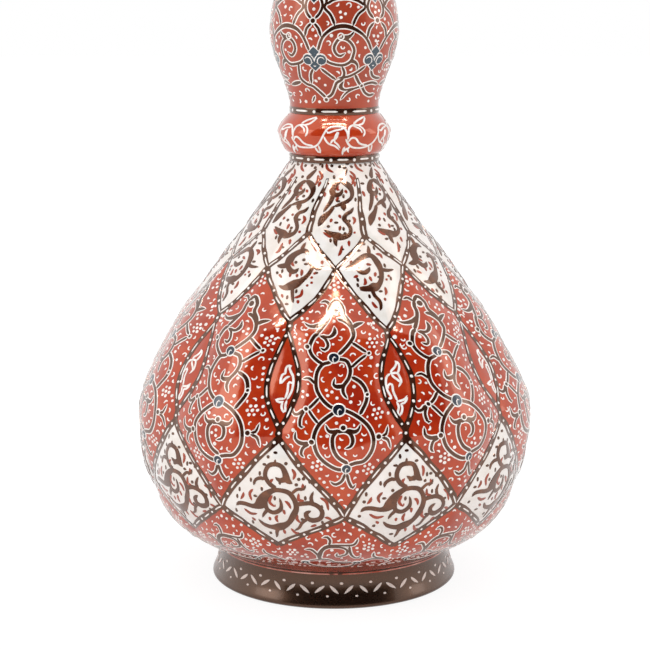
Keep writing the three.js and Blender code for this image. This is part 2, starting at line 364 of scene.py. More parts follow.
class Tree:
    # A node tree, with one method that adds any node and one that links a wire to a node that is there
    def __init__(self, owner):
        owner.use_nodes = True
        self.nodes, self.links = owner.node_tree.nodes, owner.node_tree.links

    def node(self, kind, settings=None, values=(), output=0):
        made = self.nodes.new(kind)
        for key, value in (settings or {}).items():
            if key == "stops":
                stops = made.color_ramp.elements
                for i, (place, colour) in enumerate(value):
                    stop = stops[i] if i < len(stops) else stops.new(place)
                    stop.position, stop.color = place, colour
            else:
                setattr(made, key, value)
        pairs = values.items() if isinstance(values, dict) else enumerate(values)
        for key, value in pairs:
            if isinstance(value, Wire):
                self.links.new(value.socket, made.inputs[key])
            else:
                made.inputs[key].default_value = value
        return Wire(self, made.outputs[output])

    def to(self, node, socket, wire):
        self.links.new(wire.socket, self.nodes[node].inputs[socket])

    def isSeen(self, ray):
        return self.node("ShaderNodeLightPath", output="Is " + ray + " Ray")


class Paint(Tree):
    # A material's tree; patches and depths are in millimetres
    def __init__(self, name, **constants):
        self.material = bpy.data.materials.new(name)
        super().__init__(self.material)
        self.shader = self.nodes["Principled BSDF"]
        for socket, value in constants.items():
            self.shader.inputs[socket.replace("_", " ")].default_value = value

    def noise(self, patch, detail=3, stretch=(1, 1, 1), roughness=0.5):
        place = self.node("ShaderNodeTexCoord", output="Object")
        at = self.node("ShaderNodeMapping", values={"Vector": place, "Scale": stretch})
        return self.node("ShaderNodeTexNoise", values={
            "Vector": at, "Scale": 1 / (patch * millimetre), "Detail": detail, "Roughness": roughness})

    def ramp(self, wire, *stops):
        return self.node("ShaderNodeValToRGB", {"stops": stops}, [wire])

    def mix(self, share, first, second):
        return self.node("ShaderNodeMix", {"data_type": "RGBA"}, {0: share, 6: first, 7: second}, output=2)

    def colour(self, wire):
        self.to("Principled BSDF", "Base Color", wire)

    def roughness(self, patch, least, spread=0.12):
        self.to("Principled BSDF", "Roughness", self.noise(patch, 3) * spread + least)

    def bump(self, height, depth):
        self.to("Principled BSDF", "Normal", self.node("ShaderNodeBump", values={
            "Strength": 1.0, "Distance": depth * millimetre, "Height": height}))


def tint(red, green, blue):
    # A colour as a screen shows it, 0 to 255, made linear
    return tuple((v / 255 / 12.92) if v < 10 else ((v / 255 + 0.055) / 1.055) ** 2.4
                 for v in (red, green, blue)) + (1,)


# The tint of the pale haze that the enamel's surface reflects
hazes = {"warm": (1, 0.54, 0.34, 1), "cool": (0.5, 0.55, 0.6, 1)}
gloss = {"Coat_Weight": 1.0, "Coat_IOR": 1.32, "Coat_Roughness": 0.03, "IOR": 1.6, "Specular_IOR_Level": 1.0,
         "Specular_Tint": hazes["warm"], "Roughness": 0.15}
colours = {
    "red": tint(170, 42, 12), "deepRed": tint(150, 27, 8), "orangeRed": tint(186, 60, 20),
    "neckRed": tint(164, 48, 24), "neckDeep": tint(148, 38, 18),
    "ivory": tint(238, 236, 233), "ivoryShade": tint(228, 224, 218),
    "dark": tint(44, 20, 12), "darkWarm": tint(76, 40, 26),
    "white": tint(254, 252, 250), "brown": tint(58, 26, 16), "tan": tint(112, 62, 38),
    "rust": tint(146, 44, 26), "navy": tint(22, 28, 42), "slate": tint(34, 52, 64),
    "collar": tint(188, 58, 20), "collarDeep": tint(168, 38, 10), "foot": tint(20, 9, 6),
    # The pink on the next line is a painted reflection: the pale line of light along the top of the foot
    "footMark": tint(214, 204, 198), "reflectionPink": tint(214, 156, 146),
    "copper": (0.63, 0.30, 0.19, 1), "copperDark": (0.28, 0.13, 0.09, 1),
}


def redGround(paint, shades=("deepRed", "red", "orangeRed")):
    # Fired red: cloudy, with fine brush marks and specks
    deep, plainRed, orange = (colours[shade] for shade in shades)
    clouds = paint.ramp(paint.noise(9, 4), (0.35, deep), (0.5, plainRed), (0.68, orange))
    marks = paint.noise(1.1, 5, (1, 1, 0.35), 0.7)
    return paint.mix(0.22, clouds, paint.ramp(marks, (0.3, deep), (0.7, orange)))


def bodyEnamel():
    paint = Paint("bodyEnamel", **gloss)
    edge = paint.node("ShaderNodeAttribute", {"attribute_name": "panelEdge"}, output="Fac")
    isPanel = paint.node("ShaderNodeMapRange", {"interpolation_type": "SMOOTHSTEP"},
                         {"Value": edge, "From Min": -0.05, "From Max": 0.05})
    ivory = paint.ramp(paint.noise(5, 4), (0.35, colours["ivoryShade"]), (0.6, colours["ivory"]))
    paint.colour(paint.mix(isPanel, redGround(paint), ivory))
    paint.roughness(2.5, 0.07)
    # Hammered copper under the enamel, and the enamel's own slight ripple
    paint.bump(paint.noise(6, 2) * 0.8 + paint.noise(1.3, 2) * 0.12, 0.13)
    return paint.material


def redEnamel(name):
    paint = Paint(name, **gloss)
    paint.colour(redGround(paint, ("neckDeep", "neckRed", "red")))
    paint.roughness(2.5, 0.3)
    paint.bump(paint.noise(5, 2) * 0.8 + paint.noise(1.3, 2) * 0.12, 0.06)
    return paint.material


def enamel(name, main, second, patch, share=(0.35, 0.65), rough=0.07, haze="warm"):
    # Painted enamel: clouds of a second colour, by the share of the noise where each begins
    paint = Paint(name, **{**gloss, "Coat_Roughness": 0.5 * rough, "Specular_Tint": hazes[haze]})
    paint.colour(paint.ramp(paint.noise(patch, 4), (share[0], colours[main]), (share[1], colours[second])))
    paint.roughness(2.0, rough)
    paint.bump(paint.noise(0.9, 2), 0.012)
    return paint.material


def copperMetal():
    paint = Paint("copperMetal", Metallic=1.0)
    stain = paint.noise(6, 5)
    paint.colour(paint.ramp(stain, (0.35, colours["copperDark"]), (0.6, colours["copper"])))
    paint.to("Principled BSDF", "Roughness", stain * 0.35 + 0.2)
    paint.bump(paint.noise(0.6, 3, (1, 1, 8)), 0.01)
    return paint.material


materials = {
    "body": bodyEnamel(),
    "red": redEnamel("neckRed"),
    "dark": enamel("darkEnamel", "dark", "darkWarm", 4, (0.4, 0.8)),
    "white": enamel("whiteEnamel", "ivoryShade", "white", 1.5),
    "brown": enamel("brownEnamel", "brown", "tan", 3.5, (0.5, 0.78)),
    "rust": enamel("rustEnamel", "rust", "brown", 5, (0.5, 0.9)),
    "navy": enamel("navyEnamel", "navy", "navy", 2, haze="cool"),
    "slate": enamel("slateEnamel", "slate", "navy", 4, (0.6, 1.1), haze="cool"),
    "collar": enamel("collarEnamel", "collar", "collarDeep", 6, (0.4, 0.75)),
    "foot": enamel("footEnamel", "foot", "foot", 8, rough=0.22),
    # A painted reflection: pink clouded with red, for the line of light along the foot's top
    "reflectionPink": enamel("paintedReflectionEnamel", "reflectionPink", "neckRed", 6),
    "footMark": enamel("footMarkEnamel", "footMark", "footMark", 2),
    "copper": copperMetal(),
}
print("materials ready")


# The body: the chased outer wall, a plainer inner wall, and flat ends that join them

# The panel depth of a surface that is pale all over
allPale = 5.0


def wallFaces(start, rows, columns, inside=False):
    # Quads between rings of points; an inner wall's face the other way
    faces = []
    for row in range(start, start + rows * columns, columns):
        for k in range(columns):
            a, b = row + k, row + (k + 1) % columns
            faces.append((a, a + columns, b + columns, b) if inside else (a, b, b + columns, a + columns))
    return faces


def buildBody():
    step, rows, innerRows = body["columnsToInner"], body["rows"], body["innerRows"]
    columns = body["columnsInLobe"] * body["lobes"]
    innerColumns = columns // step
    turns = np.arange(columns) * 2 * math.pi / columns
    angle, s = np.meshgrid(turns, np.linspace(0, bodySurface.length, rows + 1))
    outer = bodySurface.place(0, angle * bodySurface.at(s, "r"), s, 0 * s)
    outer[0, :, 2], outer[-1, :, 2] = bodyFoot * millimetre, bodyTop * millimetre
    edge = bodySurface.lookUp(bodySurface.edge, angle, s)
    angle, s = np.meshgrid(turns[::step], np.linspace(0, bodySurface.length, innerRows + 1))
    inner = bodySurface.place(0, angle * bodySurface.at(s, "r"), s, 0 * s)
    # Moved inwards at its own height, by more where the wall leans, so the sheet stays as thick
    plan = np.linalg.norm(inner[..., :2], axis=-1)
    sheet = body["sheet"] * (1 / bodySurface.at(s, "outR")) * millimetre
    inner[..., :2] *= ((plan - sheet) / plan)[..., None]
    start = (rows + 1) * columns
    faces = wallFaces(0, rows, columns) + wallFaces(start, innerRows, innerColumns, inside=True)
    top, innerTop = rows * columns, start + innerRows * innerColumns
    for k in range(innerColumns):
        n = (k + 1) % innerColumns
        rim = [(step * k + i) % columns for i in range(step + 1)]
        faces.append((*rim[::-1], start + k, start + n))
        faces.append((*(top + i for i in rim), innerTop + n, innerTop + k))
    points = np.concatenate([outer.reshape(-1, 3), inner.reshape(-1, 3)])
    piece = meshPiece("chased_body", points, faces, materials["body"])
    markPanels(piece, np.concatenate([edge.ravel(), np.full(inner.size // 3, allPale)]))
    belongs(piece, "body_enamel", "body_shell")
    print("chased body ready")


buildBody()


# The turned pieces: a closed section spun round the axis

turned = {
    "steps": 160, "wall": 1.2, "proud": 0.6, "bandStands": 0.2,
    "footFlare": 1.15, "footWaist": 0.9, "footFlange": 6.0, "footInset": 0.2,
    "collarRadius": 16.8, "collarMiddle": 0.52, "bulbRadius": 19.0, "bulbEndRadius": 13.2, "bulbMiddle": 0.46,
    "mouthRadius": 24.5, "mouthWaist": 11.3, "rimWire": 1.2,
    "bores": {"lower_joint_band": 11.9, "upper_joint_band": 11.9, "top_joint_band": 10.2},
    # Half the bulb's outline, and the mouth's: shares of the swell and of the height
    "bulbHalf": [(0, 0), (0.04, 0.1), (0.27, 0.31), (0.58, 0.52), (0.87, 0.76), (1, 1)],
    "mouthFlare": [(0, 0.2), (0.07, 0.45), (0.3, 0.72), (0.62, 0.9)],
}


def spinPiece(name, section, material, slot, node):
    # The section is a closed line of (radius, height), outside first
    section = np.array(section) * millimetre
    bpy.ops.object.select_all(action="DESELECT")
    bpy.ops.mesh.primitive_circle_add(vertices=len(section), radius=millimetre)
    piece = bpy.context.active_object
    piece.name = piece.data.name = name
    place = np.stack([section[:, 0], 0 * section[:, 0], section[:, 1]], -1)
    piece.data.vertices.foreach_set("co", place.ravel())
    bpy.ops.object.mode_set(mode="EDIT")
    bpy.ops.mesh.select_all(action="SELECT")
    bpy.ops.mesh.spin(steps=turned["steps"], angle=2 * math.pi, center=(0, 0, 0), axis=(0, 0, 1))
    bpy.ops.mesh.select_all(action="SELECT")
    bpy.ops.mesh.remove_doubles(threshold=1e-6)
    bpy.ops.mesh.normals_make_consistent(inside=False)
    bpy.ops.object.mode_set(mode="OBJECT")
    bpy.ops.object.shade_smooth_by_angle(angle=math.radians(35))
    piece.data.materials.append(materials[material])
    belongs(piece, slot, node)
    print(name, "ready")
    return piece


def shell(line):
    # A wall under an outline, cut flat at both ends
    surface, wall = Turned(line), turned["wall"]
    inner = np.stack([surface.r - wall * surface.outR, surface.z - wall * surface.outZ], -1)
    inner = inner[(inner[:, 1] > line[0][1]) & (inner[:, 1] < line[-1][1])]
    ends = [(line[i][0] - wall / surface.outR[i], line[i][1]) for i in (0, -1)]
    return np.vstack([line, [ends[1]], inner[::-1], [ends[0]]])


def footSection():
    low, high = heights("foot_ring")[0], bodyFoot
    top = body["footRadius"] - turned["footInset"]
    foot, waist, wall = top + turned["footFlare"], top - turned["footWaist"], turned["wall"]
    outside = smoothLine([(foot - 1.4, low), (foot - 0.3, low + 0.5), (foot, low + 1.5),
                          (waist + 0.75, low + 4.6), (waist + 0.15, low + 7.2), (waist, low + 9.4),
                          (waist + 0.2, high - 0.5)], 6)
    flange = waist - turned["footFlange"]
    inside = [(top, high), (flange, high), (flange, high - wall), (waist - wall - 0.8, high - wall),
              (waist - wall, high - wall - 1.2), (foot - wall - 1.4, low + wall), (foot - wall - 1.4, low)]
    return np.vstack([outside, inside]), outside


def bandSection(node):
    # A flat band with rounded edges, standing a little proud of its neighbours
    low, high = heights(node)
    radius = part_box(node)[1].x / millimetre - turned["proud"]
    half, bore = (high - low) / 2, turned["bores"][node]
    line = [(radius + turned["bandStands"] * math.sin(a) ** 0.5, low + half - half * math.cos(a))
            for a in np.linspace(0, math.pi, 13)]
    return np.vstack([line, [(bore, high), (bore, low)]]), Turned(line)


def collarLine():
    low, high = heights("collar_ring")
    start, end = body["topRadius"], turned["bulbEndRadius"]
    widest = (turned["collarRadius"], low + turned["collarMiddle"] * (high - low))
    return smoothLine([(start + 0.3, low), (start + 1.9, low + 1.4), widest,
                       (end + 2.2, high - 2.6), (end, high)], 8)


def bulbLine():
    low, high = heights("neck_bulb")
    end, swell = turned["bulbEndRadius"], turned["bulbRadius"] - turned["bulbEndRadius"]
    widest = low + turned["bulbMiddle"] * (high - low)
    lower = [(end + a * swell, low + b * (widest - low)) for a, b in turned["bulbHalf"]]
    upper = [(end + a * swell, high - b * (high - widest)) for a, b in turned["bulbHalf"][-2::-1]]
    return smoothLine(lower + upper, 14)


def mouthLine():
    low, high = heights("mouth_trumpet")
    waist, flare = turned["mouthWaist"], turned["mouthRadius"] - turned["mouthWaist"]
    middle = [(waist + a * flare, low + b * (high - low)) for a, b in turned["mouthFlare"]]
    return smoothLine([(turned["bulbEndRadius"] - 0.3, low), *middle, (turned["mouthRadius"], high)], 12)


def rimSection():
    low, high = heights("rim_wire")
    wire = turned["rimWire"]
    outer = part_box("rim_wire")[1].x / millimetre
    inner = outer - 2.3 * wire
    middle, half = (inner + outer) / 2, (outer - inner) / 2
    rise, seat = 0.4 * wire, 0.8 * wire
    over = [(middle + half * math.cos(a), low + rise + (high - low - rise) * math.sin(a))
            for a in np.linspace(0, math.pi, 15)]
    return [(middle - seat, low), (middle + seat, low)] + over


footShape, footOutside = footSection()
spinPiece("spun_foot", footShape, "foot", "dark_enamel", "foot_ring")
bandSurfaces = {}
for node in turned["bores"]:
    section, bandSurfaces[node] = bandSection(node)
    spinPiece(node.replace("joint_band", "band_wire"), section, "dark", "band_enamel", node)
spinPiece("swelling_collar", shell(collarLine()), "collar", "collar_enamel", "collar_ring")
spinPiece("spun_bulb", shell(bulbLine()), "red", "neck_enamel", "neck_bulb")
mouth = spinPiece("flared_mouth", shell(mouthLine()), "body", "neck_enamel", "mouth_trumpet")
spinPiece("rim_roll", rimSection(), "dark", "band_enamel", "rim_wire")
footSurface, collarSurface = Turned(footOutside), Turned(collarLine())
bulbSurface, mouthSurface = Turned(bulbLine()), Turned(mouthLine())
for node in ("base_disc", "neck_sleeve", "mouth_sleeve"):
    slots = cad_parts[node].data.materials
    slots.clear()
    slots.append(materials["copper"])


# Painted work: raised strokes and dots of enamel

brushwork = {
    "edge": 0.33, "edgeLift": 0.08, "lift": 0.13, "step": 0.6, "sway": 0.1, "dark": 1.12, "horn": 0.8,
    "nodeLift": 0.2, "swirlLift": 0.27, "markLift": 0.11, "leaf": 1.35, "ring": 0.4,
    # Share of the half width, and share of the lift, for each point of a stroke's section
    "section": [(1, -0.3), (0.93, 0.9), (0, 1), (-0.93, 0.9), (-1, -0.3), (0, -0.6)],
}


class Spot:
    # Where a pattern is painted: a surface, a turn round it, and 1, or -1 for a flipped pattern. What is
    # taken are paths of (x, s, width), and the small marks keep clear of them.
    def __init__(self, surface, turn, flip=1):
        self.surface, self.turn, self.flip = surface, turn, flip
        self.taken = []

    def take(self, *spots):
        self.taken.append(np.array(spots))


class Strokes:
    # Brush strokes and dots of raised enamel, gathered into one piece for each colour
    def __init__(self, name, slot, material):
        self.name, self.slot, self.material = name, slot, material
        self.points, self.faces, self.count = [], [], 0

    def add(self, points, faces):
        self.points.append(points)
        self.faces += [tuple(i + self.count for i in face) for face in faces]
        self.count += len(points)

    def stroke(self, spot, path, lift, closed=False):
        # A ribbon along a path of (x, s, width)
        path = np.asarray(path, float)
        centre, half = path[:, :2], path[:, 2] / 2
        if closed:
            along = np.roll(centre, -1, 0) - np.roll(centre, 1, 0)
        else:
            along = np.gradient(centre, axis=0)
        along /= np.linalg.norm(along, axis=1)[:, None] + 1e-9
        left = np.stack([-along[:, 1], along[:, 0]], -1)
        rings = []
        for share, height in brushwork["section"]:
            at = centre + left * (share * half)[:, None]
            rings.append(spot.surface.place(spot.turn, at[:, 0], at[:, 1], lift * height))
        n, m = len(path), len(rings)
        faces = []
        for i in range(n if closed else n - 1):
            a, b = i * m, ((i + 1) % n) * m
            for j in range(m):
                k = (j + 1) % m
                faces.append((a + j, a + k, b + k, b + j))
        if not closed:
            faces.append(tuple(range(m - 1, -1, -1)))
            faces.append(tuple((n - 1) * m + j for j in range(m)))
        self.add(np.stack(rings, 1).reshape(-1, 3), faces)

    def dot(self, spot, x, s, radius, lift, sides=7, stretch=(1, 1)):
        around = np.arange(sides) * 2 * math.pi / sides
        dx, ds = stretch[0] * radius * np.cos(around), stretch[1] * radius * np.sin(around)
        px = np.concatenate([x + dx, x + 0.88 * dx, [x, x]])
        ps = np.concatenate([s + ds, s + 0.88 * ds, [s, s]])
        up = np.concatenate([np.full(sides, -0.3), np.full(sides, 0.9), [1, -0.6]]) * lift
        top, bottom = 2 * sides, 2 * sides + 1
        faces = []
        for i in range(sides):
            k = (i + 1) % sides
            faces += [(i, k, k + sides, i + sides), (i + sides, k + sides, top), (k, i, bottom)]
        self.add(spot.surface.place(spot.turn, px, ps, up), faces)

    def make(self):
        piece = meshPiece(self.name, np.concatenate(self.points), self.faces, materials[self.material])
        # The strokes' tops stay flat, so they shine like the ground around them
        piece.data.set_sharp_from_angle(angle=math.radians(40))
        belongs(piece, self.slot)
        print(self.name, sum(len(f) - 2 for f in self.faces), "triangles")


def makeAll(*groups):
    for strokes in groups:
        strokes.make()


def brush(points, step, width=None):
    # A smooth path through given points (x, s) or (x, s, width), sampled evenly
    fine = smoothLine([tuple(p) + ((width,) if len(p) == 2 else ()) for p in points], 12)
    length = lengthsAlong(fine)
    at = np.linspace(0, length[-1], max(int(length[-1] / step), 4) + 1)
    return np.stack([np.interp(at, length, fine[:, k]) for k in range(3)], -1)


def rounded(path):
    # Narrows a path's two ends to round tips
    length = lengthsAlong(path)
    toEnd = np.minimum(length, length[-1] - length)
    inside = np.clip(toEnd / np.maximum(path[:, 2] / 2, 1e-6), 0, 1)
    path = path.copy()
    path[:, 2] *= np.sqrt(np.clip(1 - (1 - inside) ** 2, 0.06, 1))
    return path


def lengthened(path, by):
    # The path with both ends moved out along their directions
    path = path.copy()
    for end, near in ((0, 1), (-1, -2)):
        away = path[end, :2] - path[near, :2]
        path[end, :2] += away / (np.hypot(*away) + 1e-9) * by
    return path


def arc(x, s, radius, start, end):
    count = max(int(abs(end - start) / 22), 3)
    return [(x + radius * math.cos(a), s + radius * math.sin(a))
            for a in np.linspace(math.radians(start), math.radians(end), count + 1)]


def ringPath(surface, s, width, steps):
    # Points all the way round a surface, for a closed stroke
    return [(x, s, width) for x in np.linspace(0, surface.around(s), steps + 1)[:-1]]


def swayed(points, amount=brushwork["sway"]):
    # No two hand-drawn copies are quite alike
    return [(p[0] + random.uniform(-amount, amount), p[1] + random.uniform(-amount, amount), *p[2:])
            for p in points]


def plain(spot, strokes, points, lift, width=None, step=brushwork["step"]):
    strokes.stroke(spot, rounded(brush(points, step, width)), lift)


def outlined(spot, dark, pale, points, width, reach=0):
    # A dark ribbon over a slightly wider pale one
    path = lengthened(brush(points, brushwork["step"], width), reach)
    path[:, 2] *= brushwork["dark"]
    wide = lengthened(path, brushwork["edge"])
    wide[:, 2] += 2 * brushwork["edge"]
    wide = rounded(wide)
    pale.stroke(spot, wide, brushwork["edgeLift"])
    dark.stroke(spot, rounded(path), brushwork["lift"])
    spot.taken.append(wide)


def outlinedRing(spot, dark, pale, x, s, radius):
    pale.dot(spot, x, s, radius + brushwork["edge"] + 0.05, brushwork["lift"] + 0.03, 16)
    dark.dot(spot, x, s, radius + 0.02, brushwork["nodeLift"], 14)
    spot.take((x, s, 2 * radius + 0.5))


def eye(spot, pale, x, s, radius):
    # An open pale ring
    ring = [(*p, brushwork["ring"]) for p in arc(x, s, radius, 0, 360)[:-1]]
    pale.stroke(spot, ring, brushwork["nodeLift"], closed=True)
    spot.take((x, s, 2 * radius + 0.5))


def boss(spot, x, s, radius):
    # A dark blue boss in a pale ring, with a pale C in it
    ringStrokes.dot(spot, x, s, radius + 0.3, brushwork["lift"] + 0.03, 20)
    bossStrokes.dot(spot, x, s, radius, brushwork["nodeLift"], 20)
    hook = [(0, -0.95), (-0.2, -0.5), (-0.12, -0.05), (0.2, 0.18), (0.42, -0.05)]
    hook = [(x + a * radius, s + b * radius) for a, b in hook]
    plain(spot, ringStrokes, hook, brushwork["swirlLift"], 0.34)
    spot.take((x, s, 2 * radius + 1.2))


def drawScroll(motif, spot, dark, pale):
    for key, share, reach in (("loops", 1, motif.get("reach", 0)), ("horns", brushwork["horn"], 0)):
        for points in motif.get(key, ()):
            points = [(spot.flip * p[0], *p[1:]) for p in swayed(points)]
            outlined(spot, dark, pale, points, share * motif["width"], reach)
    for x, s, radius in motif.get("rings", ()):
        outlinedRing(spot, dark, pale, spot.flip * x, s, radius)
    for x, s, radius in motif.get("eyes", ()):
        eye(spot, pale, spot.flip * x, s, radius)
    for x, s, radius in motif.get("bosses", ()):
        boss(spot, spot.flip * x, s, radius)


# Small marks: dots, commas, curls and dashes that fill the ground

marks = {
    "dot": 0.5, "three": 0.9, "curl": 0.6, "line": 0.4, "gap": 0.55, "clear": 0.12, "tries": 9,
    "petals": 6, "petalReach": 1.4, "flowerRoom": 1.3,
    # The room that each kind takes, and the half length and bow of the two short ones
    "kinds": {"dot": 0.5, "dash": 0.55, "curl": 0.9, "comma": 0.85, "three": 1.4},
    "short": {"comma": (0.62, 0.22), "dash": (0.45, 0.05)},
    # How often each kind comes
    "body": {"curl": 5, "comma": 5, "dot": 1, "dash": 1, "three": 3},
    "bulb": {"curl": 4, "comma": 4, "dot": 1, "three": 4},
}


def markDots(spot, strokes, spots, size=1):
    for x, s in spots:
        strokes.dot(spot, x, s, size * marks["dot"], brushwork["markLift"])


def circleOf(x, s, reach, tilt, count):
    angles = [math.radians(tilt + a) for a in range(0, 360, 360 // count)]
    return [(x + reach * math.cos(a), s + reach * math.sin(a)) for a in angles]


def flower(spot, strokes, x, s):
    reach = marks["petalReach"]
    for petal in [(x, s)] + circleOf(x, s, reach, random.uniform(0, 60), marks["petals"]):
        markDots(spot, strokes, [petal], random.uniform(0.85, 1.15))
    spot.take((x, s, 2 * reach + marks["flowerRoom"]))


def smallMark(spot, strokes, x, s, kind):
    tilt, size = random.uniform(0, 360), random.uniform(0.8, 1.2)
    if kind == "dot":
        markDots(spot, strokes, [(x, s)], size)
    elif kind == "three":
        markDots(spot, strokes, circleOf(x, s, marks["three"], tilt, 3))
    elif kind == "curl":
        points = arc(x, s, size * marks["curl"], tilt, tilt + random.uniform(170, 260))
        plain(spot, strokes, points, brushwork["markLift"], marks["line"], 0.3)
    else:
        long, bow = marks["short"][kind]
        c, d = math.cos(math.radians(tilt)), math.sin(math.radians(tilt))
        line = [(-long, -bow, 0.5), (0, bow, 1.25), (long, -bow * 0.4, 0.9)]
        points = [(x + size * (a * c - b * d), s + size * (a * d + b * c), w * marks["line"] * 1.15)
                  for a, b, w in line]
        plain(spot, strokes, points, brushwork["markLift"], step=0.32)


def distances(lines, x, s):
    return np.hypot(lines[:, 0] - x, lines[:, 1] - s)


def scatter(spot, strokes, isFree, bounds, near, often, taken=None):
    # Fills what is left of a panel with marks that keep apart and clear of what is taken
    left, right, low, high = bounds
    lines = np.vstack(spot.taken if taken is None else taken)
    placed = np.zeros((0, 3))
    names = [name for name, share in often.items() for _ in range(share)]
    for _ in range(int(marks["tries"] * (right - left) * (high - low) / near ** 2)):
        x, s = random.uniform(left, right), random.uniform(low, high)
        kind = random.choice(names)
        reach = marks["kinds"][kind]
        if not isFree(x, s, reach):
            continue
        if np.min(distances(lines, x, s) - lines[:, 2] / 2) < reach + marks["clear"]:
            continue
        if len(placed) and np.min(distances(placed, x, s) - placed[:, 2]) < reach + marks["gap"]:
            continue
        placed = np.vstack([placed, [(x, s, reach)]])
        smallMark(spot, strokes, x, s, kind)


def panelAt(turn, x, s):
    # The name of the body's panel at a place
    angle, s = bodySurface.regular(math.radians(turn) + x / bodySurface.radius(s), s)
    z = float(bodySurface.at(s, "z"))
    turns = float(angle) / (2 * math.pi) * body["lobes"]
    share = abs(turns - round(turns))
    for low, high, edge, inner, outer in zones:
        if low <= z <= high:
            return inner if share < edge(z) else outer
    return ""


def insidePanel(name, turn, margin):
    def isFree(x, s, reach):
        if not 0.5 < s < bodySurface.length - 0.5 or panelAt(turn, x, s) != name:
            return False
        angle = math.radians(turn) + x / bodySurface.radius(s)
        depth = abs(float(bodySurface.lookUp(bodySurface.edge, np.array(angle), np.array(s))))
        return depth > reach + margin
    return isFree


# Boundary bands over the creases, with their pale dashes and dots

bands = {
    "width": 2.0, "slim": 1.55, "hollow": 1.65, "taper": 0.6, "lift": 0.13, "sway": 0.13,
    "dash": 3.5, "dashWidth": 0.44, "dot": 0.46, "pitch": 3.6, "markLift": 0.22,
}
bandStrokes = Strokes("boundary_bands", "band_enamel", "dark")
markStrokes = Strokes("band_marks", "band_enamel", "white")


def dashed(spot, strokes, points, first=0):
    # Dashes and dots by turns along a line
    path = brush(points, 0.5, 1)
    length = lengthsAlong(path)

    def on(at):
        return [np.interp(at, length, path[:, k]) for k in (0, 1)]

    count = max(round(length[-1] / bands["pitch"]), 1)
    pitch = length[-1] / count
    for i in range(count):
        middle = (i + 0.5) * pitch + random.uniform(-0.2, 0.2)
        if (i + first) % 2 == 0:
            half = bands["dash"] / 2 * random.uniform(0.85, 1.1)
            at = np.linspace(max(middle - half, 0.3), min(middle + half, length[-1] - 0.3), 6)
            dash = np.stack([*on(at), np.full(6, bands["dashWidth"])], -1)
            strokes.stroke(spot, rounded(dash), bands["markLift"])
        else:
            strokes.dot(spot, *on(middle), bands["dot"] * random.uniform(0.85, 1.15), bands["markLift"], 8)


def creasePath(index, side, low=None, high=None):
    # The crease of one zone on one side of a lobe, from its foot to its top or between two heights
    low = zones[index][0] if low is None else body[low]
    high = zones[index][1] if high is None else body[high]
    z = np.linspace(low, high, 10)
    share = zones[index][2](z)
    points = [(side * a * bodySurface.width(b), float(bodySurface.sOf(b))) for a, b in zip(share, z)]
    return points[:1] + swayed(points[1:-1], bands["sway"]) + points[-1:]


def bandAlong(spot, points, width, first=0, taper=0):
    points = bodySurface.slipped(spot.turn, points)
    path = brush(points, 0.8, width)
    path[:, 2] *= 1 - taper * np.linspace(0, 1, len(path)) ** 2
    path[:, 2] *= 1 + 0.1 * np.sin(np.linspace(0, random.uniform(6, 12), len(path)) + random.uniform(0, 6))
    bandStrokes.stroke(spot, path, bands["lift"])
    dashed(spot, markStrokes, points, first)


for lobe in range(body["lobes"]):
    spot = Spot(bodySurface, lobe * lobeAngle)
    for side in (-1, 1):
        bandAlong(spot, creasePath(1, side), bands["width"], 1)
        bandAlong(spot, creasePath(2, side), bands["width"])
        bandAlong(spot, creasePath(3, side, "hollowFoot", "hollowTop"), bands["hollow"], 1)
        bandAlong(spot, creasePath(4, side), bands["hollow"])
        bandAlong(spot, creasePath(5, side), bands["slim"])
    bandAlong(spot, creasePath(6, 1, "ribFoot", "ribTop"), bands["width"], 0, bands["taper"])
    bandAlong(spot, creasePath(3, 1, "diamondTop", "hollowFoot"), bands["width"], 1)
    bandAlong(spot, creasePath(3, 1, "hollowTop", "kiteFoot"), bands["width"], 1)
makeAll(bandStrokes, markStrokes)


# The scroll on each lobe: a chain of loops between dark blue bosses

